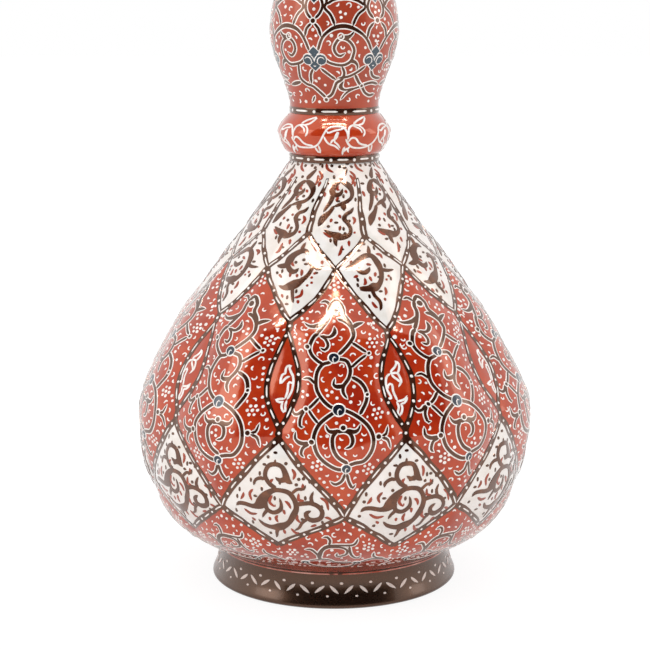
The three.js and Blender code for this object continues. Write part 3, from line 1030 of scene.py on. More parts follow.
lobeScroll = {
    "width": 0.93, "margin": 0.65, "bounds": (-18, 18, 35, 110), "near": 1.4,
    "bosses": [(-1.7, 79.3, 1.5), (-0.6, 64.3, 1.75), (1.3, 47.8, 1.3)],
    "loops": [
        [(-0.8, 63.9), (-2.6, 63), (-5.6, 60.5), (-7.2, 57.5), (-7.3, 55), (-6.5, 52), (-4.5, 49.5),
         (-1.6, 47.9), (0.4, 47.6)],
        [(0.2, 64.2), (1.5, 63.9), (4.5, 62.3), (7.2, 59.5), (8.6, 56.3), (8.3, 52.8), (6.2, 50),
         (3.8, 49.3), (1.8, 48.9)],
        [(-2.2, 78.4), (-3.2, 77.8), (-4.8, 77.2), (-6.2, 75), (-6.7, 72), (-6.4, 69.5), (-5, 67),
         (-3, 65.3), (-1.4, 64.6)],
        [(-1, 79), (0.2, 78.8), (1.8, 78.2), (2.7, 75.8), (2.2, 73.3), (0.8, 71), (0.6, 69, 0.8),
         (1.6, 67.4, 0.4)],
        [(-4.6, 77.4), (-5.8, 78), (-7.7, 80), (-8.1, 82.5), (-7, 85.4), (-5.5, 86.5)],
        [(-0.6, 80.2), (0.3, 81), (2.6, 83.5), (3.8, 86), (3.2, 88.5), (1.3, 90.4), (-0.5, 91.2)],
        [(-6, 86.5), (-4.5, 88.5), (-2.8, 91.5), (-2.6, 94), (-0.8, 96.5), (1, 94.5), (1.2, 92),
         (3, 89.5), (3.8, 86)],
        [(2.9, 73.6), (5.4, 72), (6.9, 69.5), (7, 66.7), (4.9, 62.8)],
        [(-1, 58.4), (-2.3, 56.8), (-2.2, 53.8), (-0.8, 51.2), (1.8, 49.4)],
        [(-1.2, 58.1), (0.6, 58.4), (2.4, 57.6), (3.1, 55.9), (2.5, 54.2, 0.7), (1, 53.6, 0.4)],
    ],
    "horns": [
        [(-0.4, 58.8), (-2.2, 58.2, 1.1), (-3.6, 58.7), (-4.2, 60.2, 0.3)],
        [(1.4, 58.8), (3.2, 58.2, 1.1), (4.6, 58.8), (5, 60.2, 0.3)],
        [(-8.6, 55), (-10.8, 54.7, 1.1), (-12.4, 55.8), (-12.5, 57.8, 0.3)],
        [(-8.6, 54.6), (-10.3, 53.6), (-10.9, 51.6), (-10.1, 50.6, 0.3)],
        [(11, 56.6), (12.3, 57), (12.9, 59.2, 0.3)], [(11, 56.2), (12.8, 55.3), (13.7, 52.8, 0.3)],
        [(2.2, 73.4), (1.2, 71.6), (-0.5, 70.9, 1.2), (-1.9, 71.4), (-1.6, 73.4, 0.3)],
        [(-6.8, 71.3), (-8.5, 73), (-10.4, 72.6, 0.3)], [(-5.8, 67.5), (-7.6, 65.5), (-8.9, 64.3)],
        [(-8.7, 64), (-7.8, 62.6), (-6.1, 60.4)],
        [(-10.2, 64), (-11.8, 62.6), (-13.3, 62.8), (-13.7, 64.8, 0.3)],
        [(-10, 63.8), (-11.2, 61.6), (-11.1, 59.4), (-10.2, 59.3, 0.3)],
        [(3.3, 83.9), (5.4, 82), (7.2, 80.7)], [(7.2, 79.9), (5.2, 78.4), (2.9, 76.4)],
        [(-5.3, 82.2, 0.5), (-4, 81.7), (-3.2, 83), (-3.8, 85), (-5.4, 85.9)],
        [(-5, 85.9), (-2.8, 85.5), (-1.3, 86.8, 1.1), (-1.5, 88.6, 0.3)],
        [(-2.4, 95), (-3.6, 96.3), (-5, 95.8, 0.3)],
        [(-3, 90.6), (-5.6, 89, 1.1), (-8, 88.6), (-9.6, 89.4, 0.3)],
        [(3.4, 88), (4.6, 89, 1.2), (6.8, 89.5, 0.3)], [(1, 46.4), (0.2, 44.2), (-1.6, 43), (-3, 44, 0.3)],
        [(1.4, 46.4), (1.9, 44), (3.1, 41.9), (3.9, 43, 0.3)],
    ],
    "rings": [(0.5, 59.3, 0.75), (-8, 55.2, 0.75), (10.1, 56.5, 0.75), (-9.5, 64.2, 0.6), (7.9, 80.3, 0.5),
              (7.2, 68.3, 0.5), (-8.9, 82.3, 0.7), (-0.8, 94.2, 0.95)],
    "flowers": [(-6.6, 48.4), (7.4, 47.3), (10, 62.8), (-1.2, 101.3), (8.9, 83.4)],
}
edgeStrokes = Strokes("scroll_edges", "body_enamel", "white")
scrollStrokes = Strokes("lobe_scrolls", "body_enamel", "dark")
ringStrokes = Strokes("boss_rings", "body_enamel", "white")
bossStrokes = Strokes("bosses", "body_enamel", "navy")
whiteMarks = Strokes("white_marks", "body_enamel", "white")


def fillPanel(motif, turn, name):
    # A scroll, its flowers, and small marks in what is left of a red panel
    spot = Spot(bodySurface, turn)
    drawScroll(motif, spot, scrollStrokes, edgeStrokes)
    for x, s in motif["flowers"]:
        flower(spot, whiteMarks, x, s)
    isFree = insidePanel(name, turn, motif["margin"])
    scatter(spot, whiteMarks, isFree, motif["bounds"], motif["near"], marks["body"])


for lobe in range(body["lobes"]):
    fillPanel(lobeScroll, lobe * lobeAngle, "lobe")
print("lobe scrolls ready")


# Leaf vines in the narrow hollows between the lobes

hollowVines = {
    "width": 0.68,
    "right": [
        [(-1.6, 73.7), (-1.2, 74.6), (-0.1, 75.5), (0.6, 76.5), (0.6, 77.2), (1.3, 76.5), (1.4, 75.5),
         (0.8, 74.2), (0.2, 73.7)],
        [(-1.6, 73.7), (0.2, 73.8), (0.9, 72.6), (1.1, 71.2), (0.7, 70.6), (0, 69.6, 0.35)],
        [(-1.5, 73.6), (-0.9, 72.6), (0.3, 71.6), (0.7, 70.8)],
        [(-1.6, 73.7), (-2.8, 73), (-3.4, 71.6), (-3.5, 69.6), (-3, 67.9), (-2.4, 66.5)],
        [(-2.9, 69.4), (-3.1, 70), (-2.2, 70.8), (-1.7, 70.2), (-1.8, 68.5), (-1.2, 66.5), (-1, 65.7)],
        [(-3.6, 66.5), (-2.4, 66.6)], [(-1.3, 65.6), (0, 65.7), (1.3, 66.1), (2.2, 67, 0.4)],
        [(-0.2, 64.8), (1.1, 65.1), (2.2, 66.5)],
        [(-1.3, 65.5), (-0.8, 64), (-1.3, 62.4), (-0.9, 61.6), (-0.2, 62.4), (0.2, 63.8), (-0.2, 64.8)],
    ],
    "left": [
        [(0.6, 73.6), (0.4, 74.9), (0.6, 75.9), (1.7, 76.3), (1.4, 75.5), (2.2, 74), (2.8, 72.9)],
        [(0.6, 73.8), (-0.3, 73.6), (-0.6, 72.5), (-0.5, 70.8), (0.1, 71.7), (0.9, 72.7), (1.9, 73.1)],
        [(1.6, 74.5), (2.5, 73.6), (3, 71.9), (3.1, 70.2), (2.9, 68.7), (2.4, 67.2), (1.9, 66.4)],
        [(3, 70.8), (2.3, 71.4), (1.7, 71.1), (1.8, 69.9), (1.8, 68.7), (1.6, 67.4), (1.3, 66.6)],
        [(1.4, 66.6), (0, 66.4), (-1.2, 66), (0.1, 65.5), (1.1, 65.9)],
        [(0.9, 65.7), (0.6, 64.4), (1.1, 63.2), (1.6, 62.8), (1.9, 63.4), (1.7, 64.6), (2, 66.1)],
    ],
}
vineStrokes = Strokes("hollow_vines", "body_enamel", "white")
for lobe in range(body["lobes"]):
    spot = Spot(bodySurface, (lobe + 0.5) * lobeAngle)
    for points in hollowVines["right" if lobe % 2 == 0 else "left"]:
        plain(spot, vineStrokes, swayed(points, 0.05), brushwork["lift"], hollowVines["width"])
makeAll(vineStrokes)


# Brown arabesques and rust strokes on the ivory panels

diamond = {
    "width": 1.0,
    "leaves": [
        [(-12.4, 34.4, 0.4), (-11.4, 35.3, 0.9), (-9.5, 35.4), (-6.5, 35, 1.2), (-4.5, 36.2, 2.6),
         (-3.2, 38.5, 2.0), (-1, 40.4, 1.2), (1.2, 40.8), (3.8, 40.2, 1.1), (5.3, 38, 1.1),
         (5.6, 35.5, 1.2), (4.6, 33, 1.4), (3, 30.5, 1.2), (0.5, 28.8, 2.0), (-2, 28.5, 1.2),
         (-4.3, 29.2, 0.9), (-5.7, 30.8, 0.35)],
        [(-0.3, 28.4, 1.3), (-0.9, 26.8, 0.8), (-1, 25.6, 0.6), (-1.5, 24.5, 0.35)],
        [(-3, 37, 0.9), (-2.8, 34.6), (-0.9, 33.7), (1, 34.8), (1.5, 36.5, 0.7), (1.1, 38.3, 0.35)],
        [(-2.6, 34.4, 0.9), (-3.8, 33, 0.7), (-4.4, 31.6, 0.4)],
        [(0.4, 41.1), (-1.8, 42.6), (-2.9, 45), (-2, 47.4), (0, 48.2), (2, 47.6), (2.9, 45.8, 1.3),
         (3.4, 44, 1.5), (4.8, 42.8, 0.4)],
        [(3.2, 44.2, 1.5), (1.4, 43.7, 1.0), (0, 44.6, 0.4)], [(-0.2, 48.2, 0.7), (0.1, 49.6, 0.35)],
        [(-6.4, 41.6, 0.6), (-5.9, 43, 0.7), (-4.4, 43.9, 0.8), (-3, 43.6, 0.8)],
        [(5.4, 36.4), (6.4, 36.9), (8, 37.2), (9.8, 37.1), (11.6, 36.2), (12.6, 34.5), (12, 32.5, 1.1),
         (9.9, 31.5, 1.3), (8.4, 32.3, 1.1), (8.3, 34), (9.6, 34.9, 0.4)],
        [(8.4, 32, 0.9), (6.9, 30.6, 0.7), (5.7, 28.7, 0.6), (4.3, 27.8, 0.4)],
        [(10.3, 36.8, 0.8), (9.8, 38.8, 0.8), (10.5, 40.8, 0.35)],
        [(4.4, 39.8, 0.7), (6.2, 41.3, 0.7), (7.9, 41.4, 0.6), (8.4, 42.6, 0.35)],
    ],
    "commas": [
        [(-6.6, 40.4), (-7.8, 38.7), (-7.3, 36.9)], [(-9.7, 39), (-9.9, 37.8), (-10.8, 36.7)],
        [(-9.9, 33.6), (-8, 32.3), (-5.9, 32.7)], [(4.8, 47), (5.5, 45.6), (5.1, 44)],
        [(7.6, 42.9), (7.8, 41.9), (7.1, 40.7)], [(6.5, 40.2), (6.6, 38.2), (8, 37.9)],
        [(12.3, 38.8), (14, 37.6), (14.5, 35)], [(13.2, 32.7), (14.2, 32.5), (15.2, 31.6)],
        [(-1, 39), (-2, 37), (-0.6, 35.6), (-0.4, 36.4)], [(2.5, 37.6), (3.5, 36.8), (4, 35.2)],
        [(2, 34.8), (2.2, 33.2)], [(5.7, 33.4), (5.5, 31.8), (6.6, 30.6)], [(-2.2, 32), (-2.1, 30.8)],
        [(0.2, 33), (-0.3, 31.8), (0.2, 30.4)], [(1.3, 27.7), (1.5, 26.3)],
        [(-0.4, 44), (-1.3, 43), (-0.6, 42)], [(-6.8, 30.2), (-7.8, 30.9)],
        [(3.6, 28.6), (4.6, 26.6), (5.6, 26.8)], [(10.6, 29.9), (9, 29.2)],
    ],
    "dots": [
        (-3.3, 47.8), (3, 48.4), (-7.3, 42.8), (-11.8, 37.3), (-6, 38.5), (6.4, 44.2), (7.8, 44.3),
        (8.4, 38.8), (9.6, 43.4), (8.3, 45.4), (12.8, 35.9), (-3.9, 40.8), (-4.6, 45.3), (0.1, 51.6),
        (-2, 50.2), (-0.2, 38), (7, 31.8), (12.5, 30.9), (-12.6, 32.8), (-8, 29.2), (1.2, 43.2),
        (-11, 39.6), (-2.7, 26), (5.8, 42.4),
    ],
}
kiteA = {
    "width": 0.9,
    "leaves": [
        [(-8, 106.6, 0.5), (-6.5, 106.7, 1.1), (-5, 107.2, 1.4), (-4.2, 109, 2.0), (-3.2, 110.6, 1.5),
         (-1.4, 111.9, 1.2), (0.2, 112, 1.1), (1, 111, 0.4)],
        [(-1.4, 112, 0.9), (-0.9, 113.5, 0.8), (-0.5, 114.8, 0.35)],
        [(-4.6, 107.4, 1.1), (-3.4, 105.6, 1.3), (-2, 105.4, 1.1), (-1, 106.4, 0.4)],
        [(6, 107.3, 0.4), (4.8, 106.6, 0.9), (3.6, 107.1, 1), (2.4, 108.1, 1.3), (1.4, 109, 0.7)],
        [(3, 107.4, 0.9), (2.3, 105, 0.9), (0.8, 102.8, 1.2), (-1, 101.4, 2.2), (-2.8, 100.6, 1.9),
         (-4.5, 99.9, 1.1), (-6.2, 100.5, 0.4)],
        [(-1.8, 100.8, 0.9), (-1.6, 98.5, 0.8), (-1, 96.6, 0.7), (-0.7, 95.4, 0.4)],
    ],
    "commas": [
        [(1.2, 114.4), (2.3, 113.6), (2.9, 112)], [(-2.9, 105.2), (-3.2, 103.6)],
        [(-1, 104.6), (-0.9, 103.4)], [(-0.2, 106.2), (0.3, 105.2), (0, 104)],
        [(-3.3, 109.8), (-3.4, 108), (-2.3, 106.9)], [(3.6, 105.2), (4.1, 104.8)],
        [(2.9, 103.9), (3.5, 103.4)], [(3.2, 102.3), (3.8, 101.8)], [(2, 101.4), (2.6, 100.8)],
        [(-0.6, 97), (1, 98), (1.3, 99.8)], [(-4.8, 98), (-4.2, 96.6)], [(0.4, 96.4), (0.6, 95.2)],
        [(5.2, 108.9), (5.6, 107.8)], [(-6.8, 104), (-5.4, 103.2)],
    ],
    "dots": [
        (-3.2, 113.6), (-2.2, 108.3), (0.2, 109.4), (-3, 97), (4, 105.3), (1, 107.8), (-7.4, 104.3),
        (-5.8, 105.3), (3, 114.1), (5.4, 110.1), (-0.4, 99), (-2.8, 94.8), (0.8, 103.2),
    ],
}
kiteB = {
    "width": 0.9,
    "leaves": [
        [(-8.2, 106.2, 0.4), (-6, 107.6, 0.8), (-3.4, 109.6, 1.1), (-1.5, 110.6, 1.2), (0.3, 110.2, 1.2),
         (1.5, 108, 1.5), (2, 105.5, 1.2), (1.6, 103, 1.1), (0.5, 101.2, 1.3), (-1, 100.4, 2.2),
         (-2.8, 100, 1.5), (-4.6, 100, 1.2), (-5.2, 100.6, 0.4)],
        [(-1.9, 99.9, 0.9), (-1.6, 97.8, 0.8), (-0.5, 96, 0.8), (-0.4, 94.2, 0.7), (-1, 93, 0.4)],
        [(-5, 106, 0.4), (-4.2, 105.4, 1), (-2.8, 105.1, 1.1), (-1.6, 105.9, 0.9), (-1.1, 106.8, 0.35)],
        [(1.8, 106, 0.9), (4, 105.4, 0.8), (6.2, 105.5, 0.35)],
        [(-0.6, 110.8, 0.9), (-0.2, 112, 0.9), (0, 113.6, 0.35)],
    ],
    "commas": [
        [(-5.6, 108.9), (-6.4, 107.6)], [(-4.4, 111.6), (-5.6, 111.2), (-6.6, 110.4)],
        [(-3.4, 103.6), (-3.2, 102), (-3.9, 101.3)], [(-1.9, 103.8), (-1.5, 102.4)],
        [(1.8, 111), (3.2, 110.4), (3.3, 109.2)], [(-5, 104.4), (-6.3, 103.6)], [(2.9, 103), (3.3, 102.2)],
        [(3.8, 104), (4.2, 103.2)], [(1.9, 100.4), (2.2, 98.8), (1.6, 97.7)],
        [(-2.6, 96), (-1.9, 94.2), (-1.4, 93.9)], [(1.2, 97), (1.4, 95.8)], [(0.1, 105.2), (-0.2, 103.6)],
        [(-2, 108), (-0.4, 107.4)], [(-3.5, 113.4), (-2.7, 112.9)],
    ],
    "dots": [
        (-3, 97.6), (0.3, 99.2), (3.7, 107.2), (-5.5, 101.4), (-3.9, 107.4), (1.7, 112.8), (-2.9, 112.2),
        (4.6, 102.6), (1, 103.4), (-0.9, 114.4), (-5.3, 103.1),
    ],
}
neckPanel = {
    "width": 0.85,
    "leaves": [
        [(3.3, 138.6, 0.35), (2.5, 137.2, 0.9), (1.6, 135.8, 1.1), (1.3, 134.9, 0.9)],
        [(1.3, 134.7), (3.4, 133.4, 1.4), (4.4, 131.5, 1.1), (4.3, 129.5, 0.9), (3, 128, 0.9),
         (1, 127.2, 0.9), (-0.9, 126.3, 0.4)],
        [(1.3, 134.7), (-0.3, 133.4, 1.1), (-1.1, 131.2, 1.4), (0, 130.2, 1.2), (1.3, 130.8, 0.9),
         (1.7, 132.2, 0.35)],
        [(-0.8, 130.4, 1.1), (-1.7, 128, 0.9), (-2.9, 126, 0.7), (-3.8, 124.6, 0.35)],
        [(1.6, 127.8, 0.9), (1.9, 126.4, 1.3), (2.1, 125, 0.4)],
        [(-0.8, 126.6, 0.8), (-2, 124.8, 0.9), (-3.9, 122.6, 1.5), (-4.8, 121.2, 1.1), (-5.4, 120, 0.35)],
        [(4.9, 126.2, 0.35), (4.1, 124.8, 0.9), (2.7, 124, 0.9), (2.1, 122.5, 1.1), (3.1, 121, 0.9),
         (3.9, 119.2), (3.5, 117.4, 1.0), (1.5, 116.6, 1.5), (-0.1, 117, 1.9), (-2, 117.9, 1.1),
         (-3.8, 119, 0.35)],
        [(-0.4, 116.6, 1.2), (-0.5, 115, 0.9), (-0.2, 113.6, 0.35)],
    ],
    "commas": [
        [(0.7, 133.4), (0.1, 132.3), (1, 131.6)], [(5.6, 134.5), (5.6, 132.8)],
        [(2.4, 131.8), (3.1, 130.8)], [(-3.3, 131.2), (-3.4, 129.4)], [(2.6, 128.2), (3.6, 127.6)],
        [(0.6, 129.6), (-0.1, 128.4)], [(4.3, 123.2), (5.2, 122), (4.6, 120.6)],
        [(0.8, 120.2), (0.7, 118.6)], [(-3.9, 118.2), (-2.3, 117), (-1.5, 116.9)],
        [(3.1, 115.6), (3.3, 113.6)], [(1.2, 114), (0.8, 111.6), (0, 110.6)],
        [(-1.4, 122.6), (-1.8, 121.3)], [(0.6, 123.8), (1.1, 122.8)], [(4.7, 118.4), (5.2, 117.6)],
        [(-2.5, 140.4), (-2.4, 138.6), (-0.7, 137.5)], [(-5, 137.9), (-4.1, 136.4), (-4.6, 134.9)],
        [(4.1, 136.6), (4.9, 135.1), (4.4, 133.2)], [(-0.4, 133.6), (-1, 132.2)],
    ],
    "dots": [
        (-1, 139.5), (1.2, 139.4), (3.6, 140.1), (-0.4, 135.9), (-4, 139.3), (2.7, 138.9), (2.2, 129.6),
        (0.4, 128.4), (1.9, 119.2), (-2.6, 117.9), (3.5, 121.9), (-0.2, 121.4), (-2.6, 133.8), (5.4, 128.4),
        (-2.1, 115.4), (1.4, 112.6), (-2.3, 120.1), (2.1, 117.9),
    ],
}
rust = {"width": 0.8, "lift": 0.09, "dot": 0.55, "sway": 0.15, "step": 0.5, "dotSway": 0.2,
        "long": [0.8, 1.2, 0.7, 0.6], "short": [1.3, 0.8], "dotShapes": [(1, 1), (0.8, 1.4), (1.3, 0.8)]}
arabesques = Strokes("arabesques", "body_enamel", "brown")
rustMarks = Strokes("rust_strokes", "body_enamel", "rust")
brownMarks = Strokes("brown_dots", "body_enamel", "dark")


def drawLeaves(motif, spot, leaves, commas, width, fullness, fit):
    # A panel's brown leaves, and the rust commas between them
    for points in motif["leaves"]:
        path = brush([fit(p) for p in swayed(points)], brushwork["step"], width)
        path[:, 2] *= fullness
        leaves.stroke(spot, rounded(path), brushwork["lift"])
    for points in motif["commas"]:
        widths = rust["long" if len(points) > 2 else "short"]
        points = [fit((x, s, rust["width"] * w)) for (x, s), w in zip(swayed(points, rust["sway"]), widths)]
        plain(spot, commas, points, rust["lift"], step=rust["step"])


def drawPanel(motif, turn):
    spot = Spot(bodySurface, turn)
    drawLeaves(motif, spot, arabesques, rustMarks, motif["width"], brushwork["leaf"], tuple)
    for x, s in swayed(motif["dots"], rust["dotSway"]):
        brownMarks.dot(spot, x, s, rust["dot"], rust["lift"], stretch=random.choice(rust["dotShapes"]))


for lobe in range(body["lobes"]):
    turn = lobe * lobeAngle
    between = turn + lobeAngle / 2
    drawPanel(diamond, between)
    drawPanel(kiteB if lobe % 2 == 0 else kiteA, between)
    drawPanel(neckPanel, turn)
makeAll(arabesques, rustMarks, brownMarks)


# The foot zone of the body

footScroll = {
    "width": 0.68, "margin": 0.7, "bounds": (-16, 16, 7, 34), "near": 1.5,
    "bosses": [(-9.6, 12.4, 1.15), (4.8, 12, 1.15)],
    "loops": [
        [(-5.6, 15.3), (-6, 18), (-5.2, 20.6), (-3.6, 22.2), (-1, 22.6), (3, 22.4), (4.2, 23.2),
         (4.8, 25, 0.35)],
        [(-5.4, 16.6), (-5, 20), (-3.3, 21.7), (0, 21.8), (1.9, 20.6), (1.9, 18.6), (0.6, 17.4),
         (-0.9, 17.2), (-0.9, 19, 0.35)],
        [(2.4, 22.2), (2.8, 19.5), (3.4, 17.2), (4.6, 15.8), (5.8, 17, 0.35)],
        [(-3.1, 22.6), (-2.8, 24.4), (-3.6, 25.8), (-5, 25.4, 0.35)],
        [(-9.8, 20.4, 0.35), (-8.2, 20.5), (-6.8, 19), (-5.9, 17), (-5.3, 15.2)],
        [(-8.6, 13.6), (-5.5, 15.1), (-3, 14.8), (-1.6, 13.2), (0.6, 12.4), (3.6, 12.2)],
        [(9.6, 18.6, 0.35), (9.4, 16.6), (10.7, 15.2), (12.4, 14.6)],
        [(5.9, 12.4), (8, 14), (10, 14.6), (12.4, 13.8), (14, 12.4)],
        [(-9, 11.2), (-7.4, 9), (-4, 7.6), (0, 7.6), (3, 8.8), (4.2, 10.8)],
    ],
    "flowers": [(8, 21.3), (-13.4, 18.5)],
}
for lobe in range(body["lobes"]):
    fillPanel(footScroll, lobe * lobeAngle, "foot")
makeAll(scrollStrokes, edgeStrokes, ringStrokes, bossStrokes, whiteMarks)


# The bulb: arches between slate-blue palmettes, every second one mirrored

bulbPattern = {
    "turn": -21.0, "repeats": 6, "narrow": 0.95, "below": 16.7, "reach": 0.3, "middleRing": 43,
    "bounds": (0, 20.5, 0, 52), "near": 1.5,
    "palmette": {
        "height": 31.8, "edge": 0.24, "squareEdge": 0.1, "edgeLift": 0.17, "lift": 0.22, "veinLift": 0.29,
        # Place, radius and number of sides
        "petals": [
            (-1.95, 0, 1.7, 16), (1.95, 0, 1.7, 16), (0, 2.3, 1.75, 4), (0, -1.9, 1.75, 4),
            (0, 0.3, 1.5, 8),
        ],
        "veins": [
            [(0, -0.6), (0.3, 0.5), (1.1, 1.4)],
            [(3, 0.1), (2.3, 0.75), (1.3, 0.5), (0.85, -0.5), (1.1, -1.3)],
        ],
        "smile": [(-0.4, 1.8), (0, 2.05), (0.4, 1.8)],
    },
    "arch": {
        "width": 0.74,
        "loops": [
            [(1.4, 34.6), (2.9, 38.2), (5.1, 40.4, 0.9), (7.6, 41.4, 1.1), (10.4, 41.4, 1.1),
             (13.3, 40.5, 0.9), (15.8, 38.9), (17.4, 37.1), (18.4, 34.6)],
            [(3.4, 32.2), (4.3, 31.1), (6.5, 30.2), (9, 30.2), (11, 31.3), (12.1, 33), (12.5, 34.8),
             (11.7, 36.6), (10, 37.8), (8.1, 37.8), (6.8, 36.6), (6.4, 35), (6.9, 33.6), (8.1, 32.9, 0.7),
             (9.2, 33.6, 0.35)],
            [(0.4, 42.3), (1.9, 40.8), (2.5, 38.8)],
            [(0.6, 43.7), (2, 45.2), (2.7, 47.2), (2.1, 49.2), (0.6, 50.9)],
            [(3.4, 50.4), (3.8, 48.4), (3.5, 46.7), (5.1, 44.9), (6.2, 43.2), (6.7, 41.9)],
            [(19.2, 42.2), (17.7, 40.6), (17.1, 38.4)],
            [(19, 43.7), (17.6, 45.2), (16.9, 47.2), (17.5, 49.2), (19, 50.9)],
            [(16.2, 50.4), (15.7, 48.4), (16.1, 46.7), (14, 45), (12.9, 43.2), (12.4, 41.7)],
            [(4, 47.8), (5.7, 48.9), (7.7, 49.5), (10.7, 49.5), (13.6, 48.7), (15.8, 47.4)],
            [(2.4, 53.6), (5, 52.2), (9.6, 51.8), (14.2, 52.2), (16.8, 53.6)],
        ],
        "horns": [
            [(10.6, 31), (12.1, 31.1, 1.1), (13.2, 30), (12.7, 28.5, 0.3)],
            [(8.8, 38.7), (10.3, 38.2, 1.2), (11.7, 38.9), (12.7, 40)],
            [(7, 56), (6.2, 54.6, 1.1), (7.4, 53.6), (9.4, 54.4), (10, 56.4), (8.4, 58, 0.3)],
            [(12.4, 53.2), (13.4, 54.8, 1.1), (12.8, 56.6), (14, 58, 0.3)],
        ],
        "eyes": [(8.6, 38.6, 0.9)],
    },
    "loop": {
        "width": 0.72,
        "loops": [
            [(-5.6, 30.3), (-5.8, 28.2), (-5.5, 25.7), (-3.5, 24.1), (-1.4, 23.4), (0.8, 21.4),
             (2.2, 20.1)],
            [(2.6, 20), (4, 20.9), (5.1, 22.9), (5.9, 24.6), (7.7, 25.7), (8.6, 27.6), (8.3, 29.6)],
            [(-0.9, 28.8), (-1.7, 27.1), (-1.9, 24.6)], [(1.8, 29), (4, 27.1), (5.8, 25.7)],
        ],
        "horns": [[(-5.6, 24.6), (-8, 24, 1.1), (-10.4, 23.6, 0.3)], [(-1.2, 20.4), (-2.2, 18.6, 0.35)]],
        "rings": [(2.3, 19.4, 0.55)],
    },
    "crossing": {
        "width": 0.72,
        "loops": [
            [(-2.8, 29.6), (-5, 27.9), (-7.5, 26.6), (-10.3, 26.1)],
            [(-5.4, 26.9), (-3.5, 24.6), (-2.3, 23.5), (-0.6, 21.4), (1.6, 20.4), (3.6, 20.6)],
            [(-0.3, 28.8), (0.8, 26.8), (2.7, 25.8), (5, 25.6)],
            [(-2.3, 23.5), (0, 24.2), (2, 24.4), (4.4, 23.8)],
        ],
        "horns": [
            [(-2.3, 23.4), (-4.6, 22.7), (-6.7, 21.6), (-8.2, 19.4, 0.35)],
            [(-8.6, 25, 0.35), (-9.2, 23.4, 1.1), (-7.5, 22.3), (-4.6, 22.8)],
        ],
        "rings": [(-2.3, 23.5, 0.5)],
    },
}
neckScrolls = Strokes("neck_scrolls", "neck_enamel", "dark")
neckEdges = Strokes("neck_scroll_edges", "neck_enamel", "white")
neckMarks = Strokes("neck_marks", "neck_enamel", "white")
palmettes = Strokes("palmettes", "neck_enamel", "slate")
palmetteLines = Strokes("palmette_lines", "neck_enamel", "white")


def onBulb(name, isUpper=False):
    # The pattern's heights are from below the bulb's foot; the upper half has some of it upside down
    def fit(p):
        s = p[1] - bulbPattern["below"]
        return (p[0] * bulbPattern["narrow"], bulbSurface.length - s if isUpper else s, *p[2:])

    motif = bulbPattern[name]
    fitted = {"width": motif["width"], "reach": bulbPattern["reach"]}
    for key in ("loops", "horns"):
        fitted[key] = [[fit(p) for p in line] for line in motif[key]]
    for key in ("rings", "eyes"):
        fitted[key] = [fit(p) for p in motif.get(key, ())]
    return fitted


def palmette(spot, s, up):
    shape = bulbPattern["palmette"]
    for dx, ds, radius, sides in shape["petals"]:
        edge = shape["edge"] + (shape["squareEdge"] if sides == 4 else 0)
        palmetteLines.dot(spot, dx, s + up * ds, radius + edge, shape["edgeLift"], sides)
        palmettes.dot(spot, dx, s + up * ds, radius, shape["lift"], sides)
    for side in (-1, 1):
        for line in shape["veins"]:
            plain(spot, palmetteLines, [(side * a, s + up * b) for a, b in line], shape["veinLift"], 0.3)
    plain(spot, palmetteLines, [(a, s - up * b) for a, b in shape["smile"]], shape["veinLift"], 0.28)
    spot.take((-1.8, s, 4.2), (1.8, s, 4.2), (0, s + up * 2, 3.4), (0, s - up * 1.5, 3.4))


bulbSpots = []
sixth = 360 / bulbPattern["repeats"]
for k in range(bulbPattern["repeats"]):
    isEven = k % 2 == 0
    turn = bulbPattern["turn"] + sixth * k
    arch = Spot(bulbSurface, turn, 1) if isEven else Spot(bulbSurface, turn + sixth, -1)
    drawScroll(onBulb("arch"), arch, neckScrolls, neckEdges)
    spot = Spot(bulbSurface, turn)
    for isUpper in (False, True):
        drawScroll(onBulb("loop" if isEven else "crossing", isUpper), spot, neckScrolls, neckEdges)
    low = bulbPattern["palmette"]["height"] - bulbPattern["below"]
    palmette(spot, low, 1)
    palmette(spot, bulbSurface.length - low, -1)
    outlinedRing(spot, neckScrolls, neckEdges, 0, bulbPattern["middleRing"] - bulbPattern["below"], 0.75)
    bulbSpots += [arch, spot]


def asSeenFrom(spot, turn):
    # What is taken at a spot, in the coordinates of another turn
    apart = math.radians((spot.turn - turn + 180) % 360 - 180)
    return [np.stack([line[:, 0] + apart * spot.surface.at(line[:, 1], "r"), line[:, 1], line[:, 2]], -1)
            for line in spot.taken]


def inRepeat(x, s, reach):
    # Inside one sixth of the bulb's ground
    wide = bulbSurface.around(s) / bulbPattern["repeats"]
    return 0 <= x < wide - 0.3 and 1 + reach < s < bulbSurface.length - 1 - reach


for k in range(bulbPattern["repeats"]):
    spot = Spot(bulbSurface, bulbPattern["turn"] + sixth * k)
    taken = [line for other in bulbSpots for line in asSeenFrom(other, spot.turn)]
    scatter(spot, neckMarks, inRepeat, bulbPattern["bounds"], bulbPattern["near"], marks["bulb"], taken)
print("bulb pattern ready")


# The flared mouth: a rising scroll, and ivory lappets under the rim

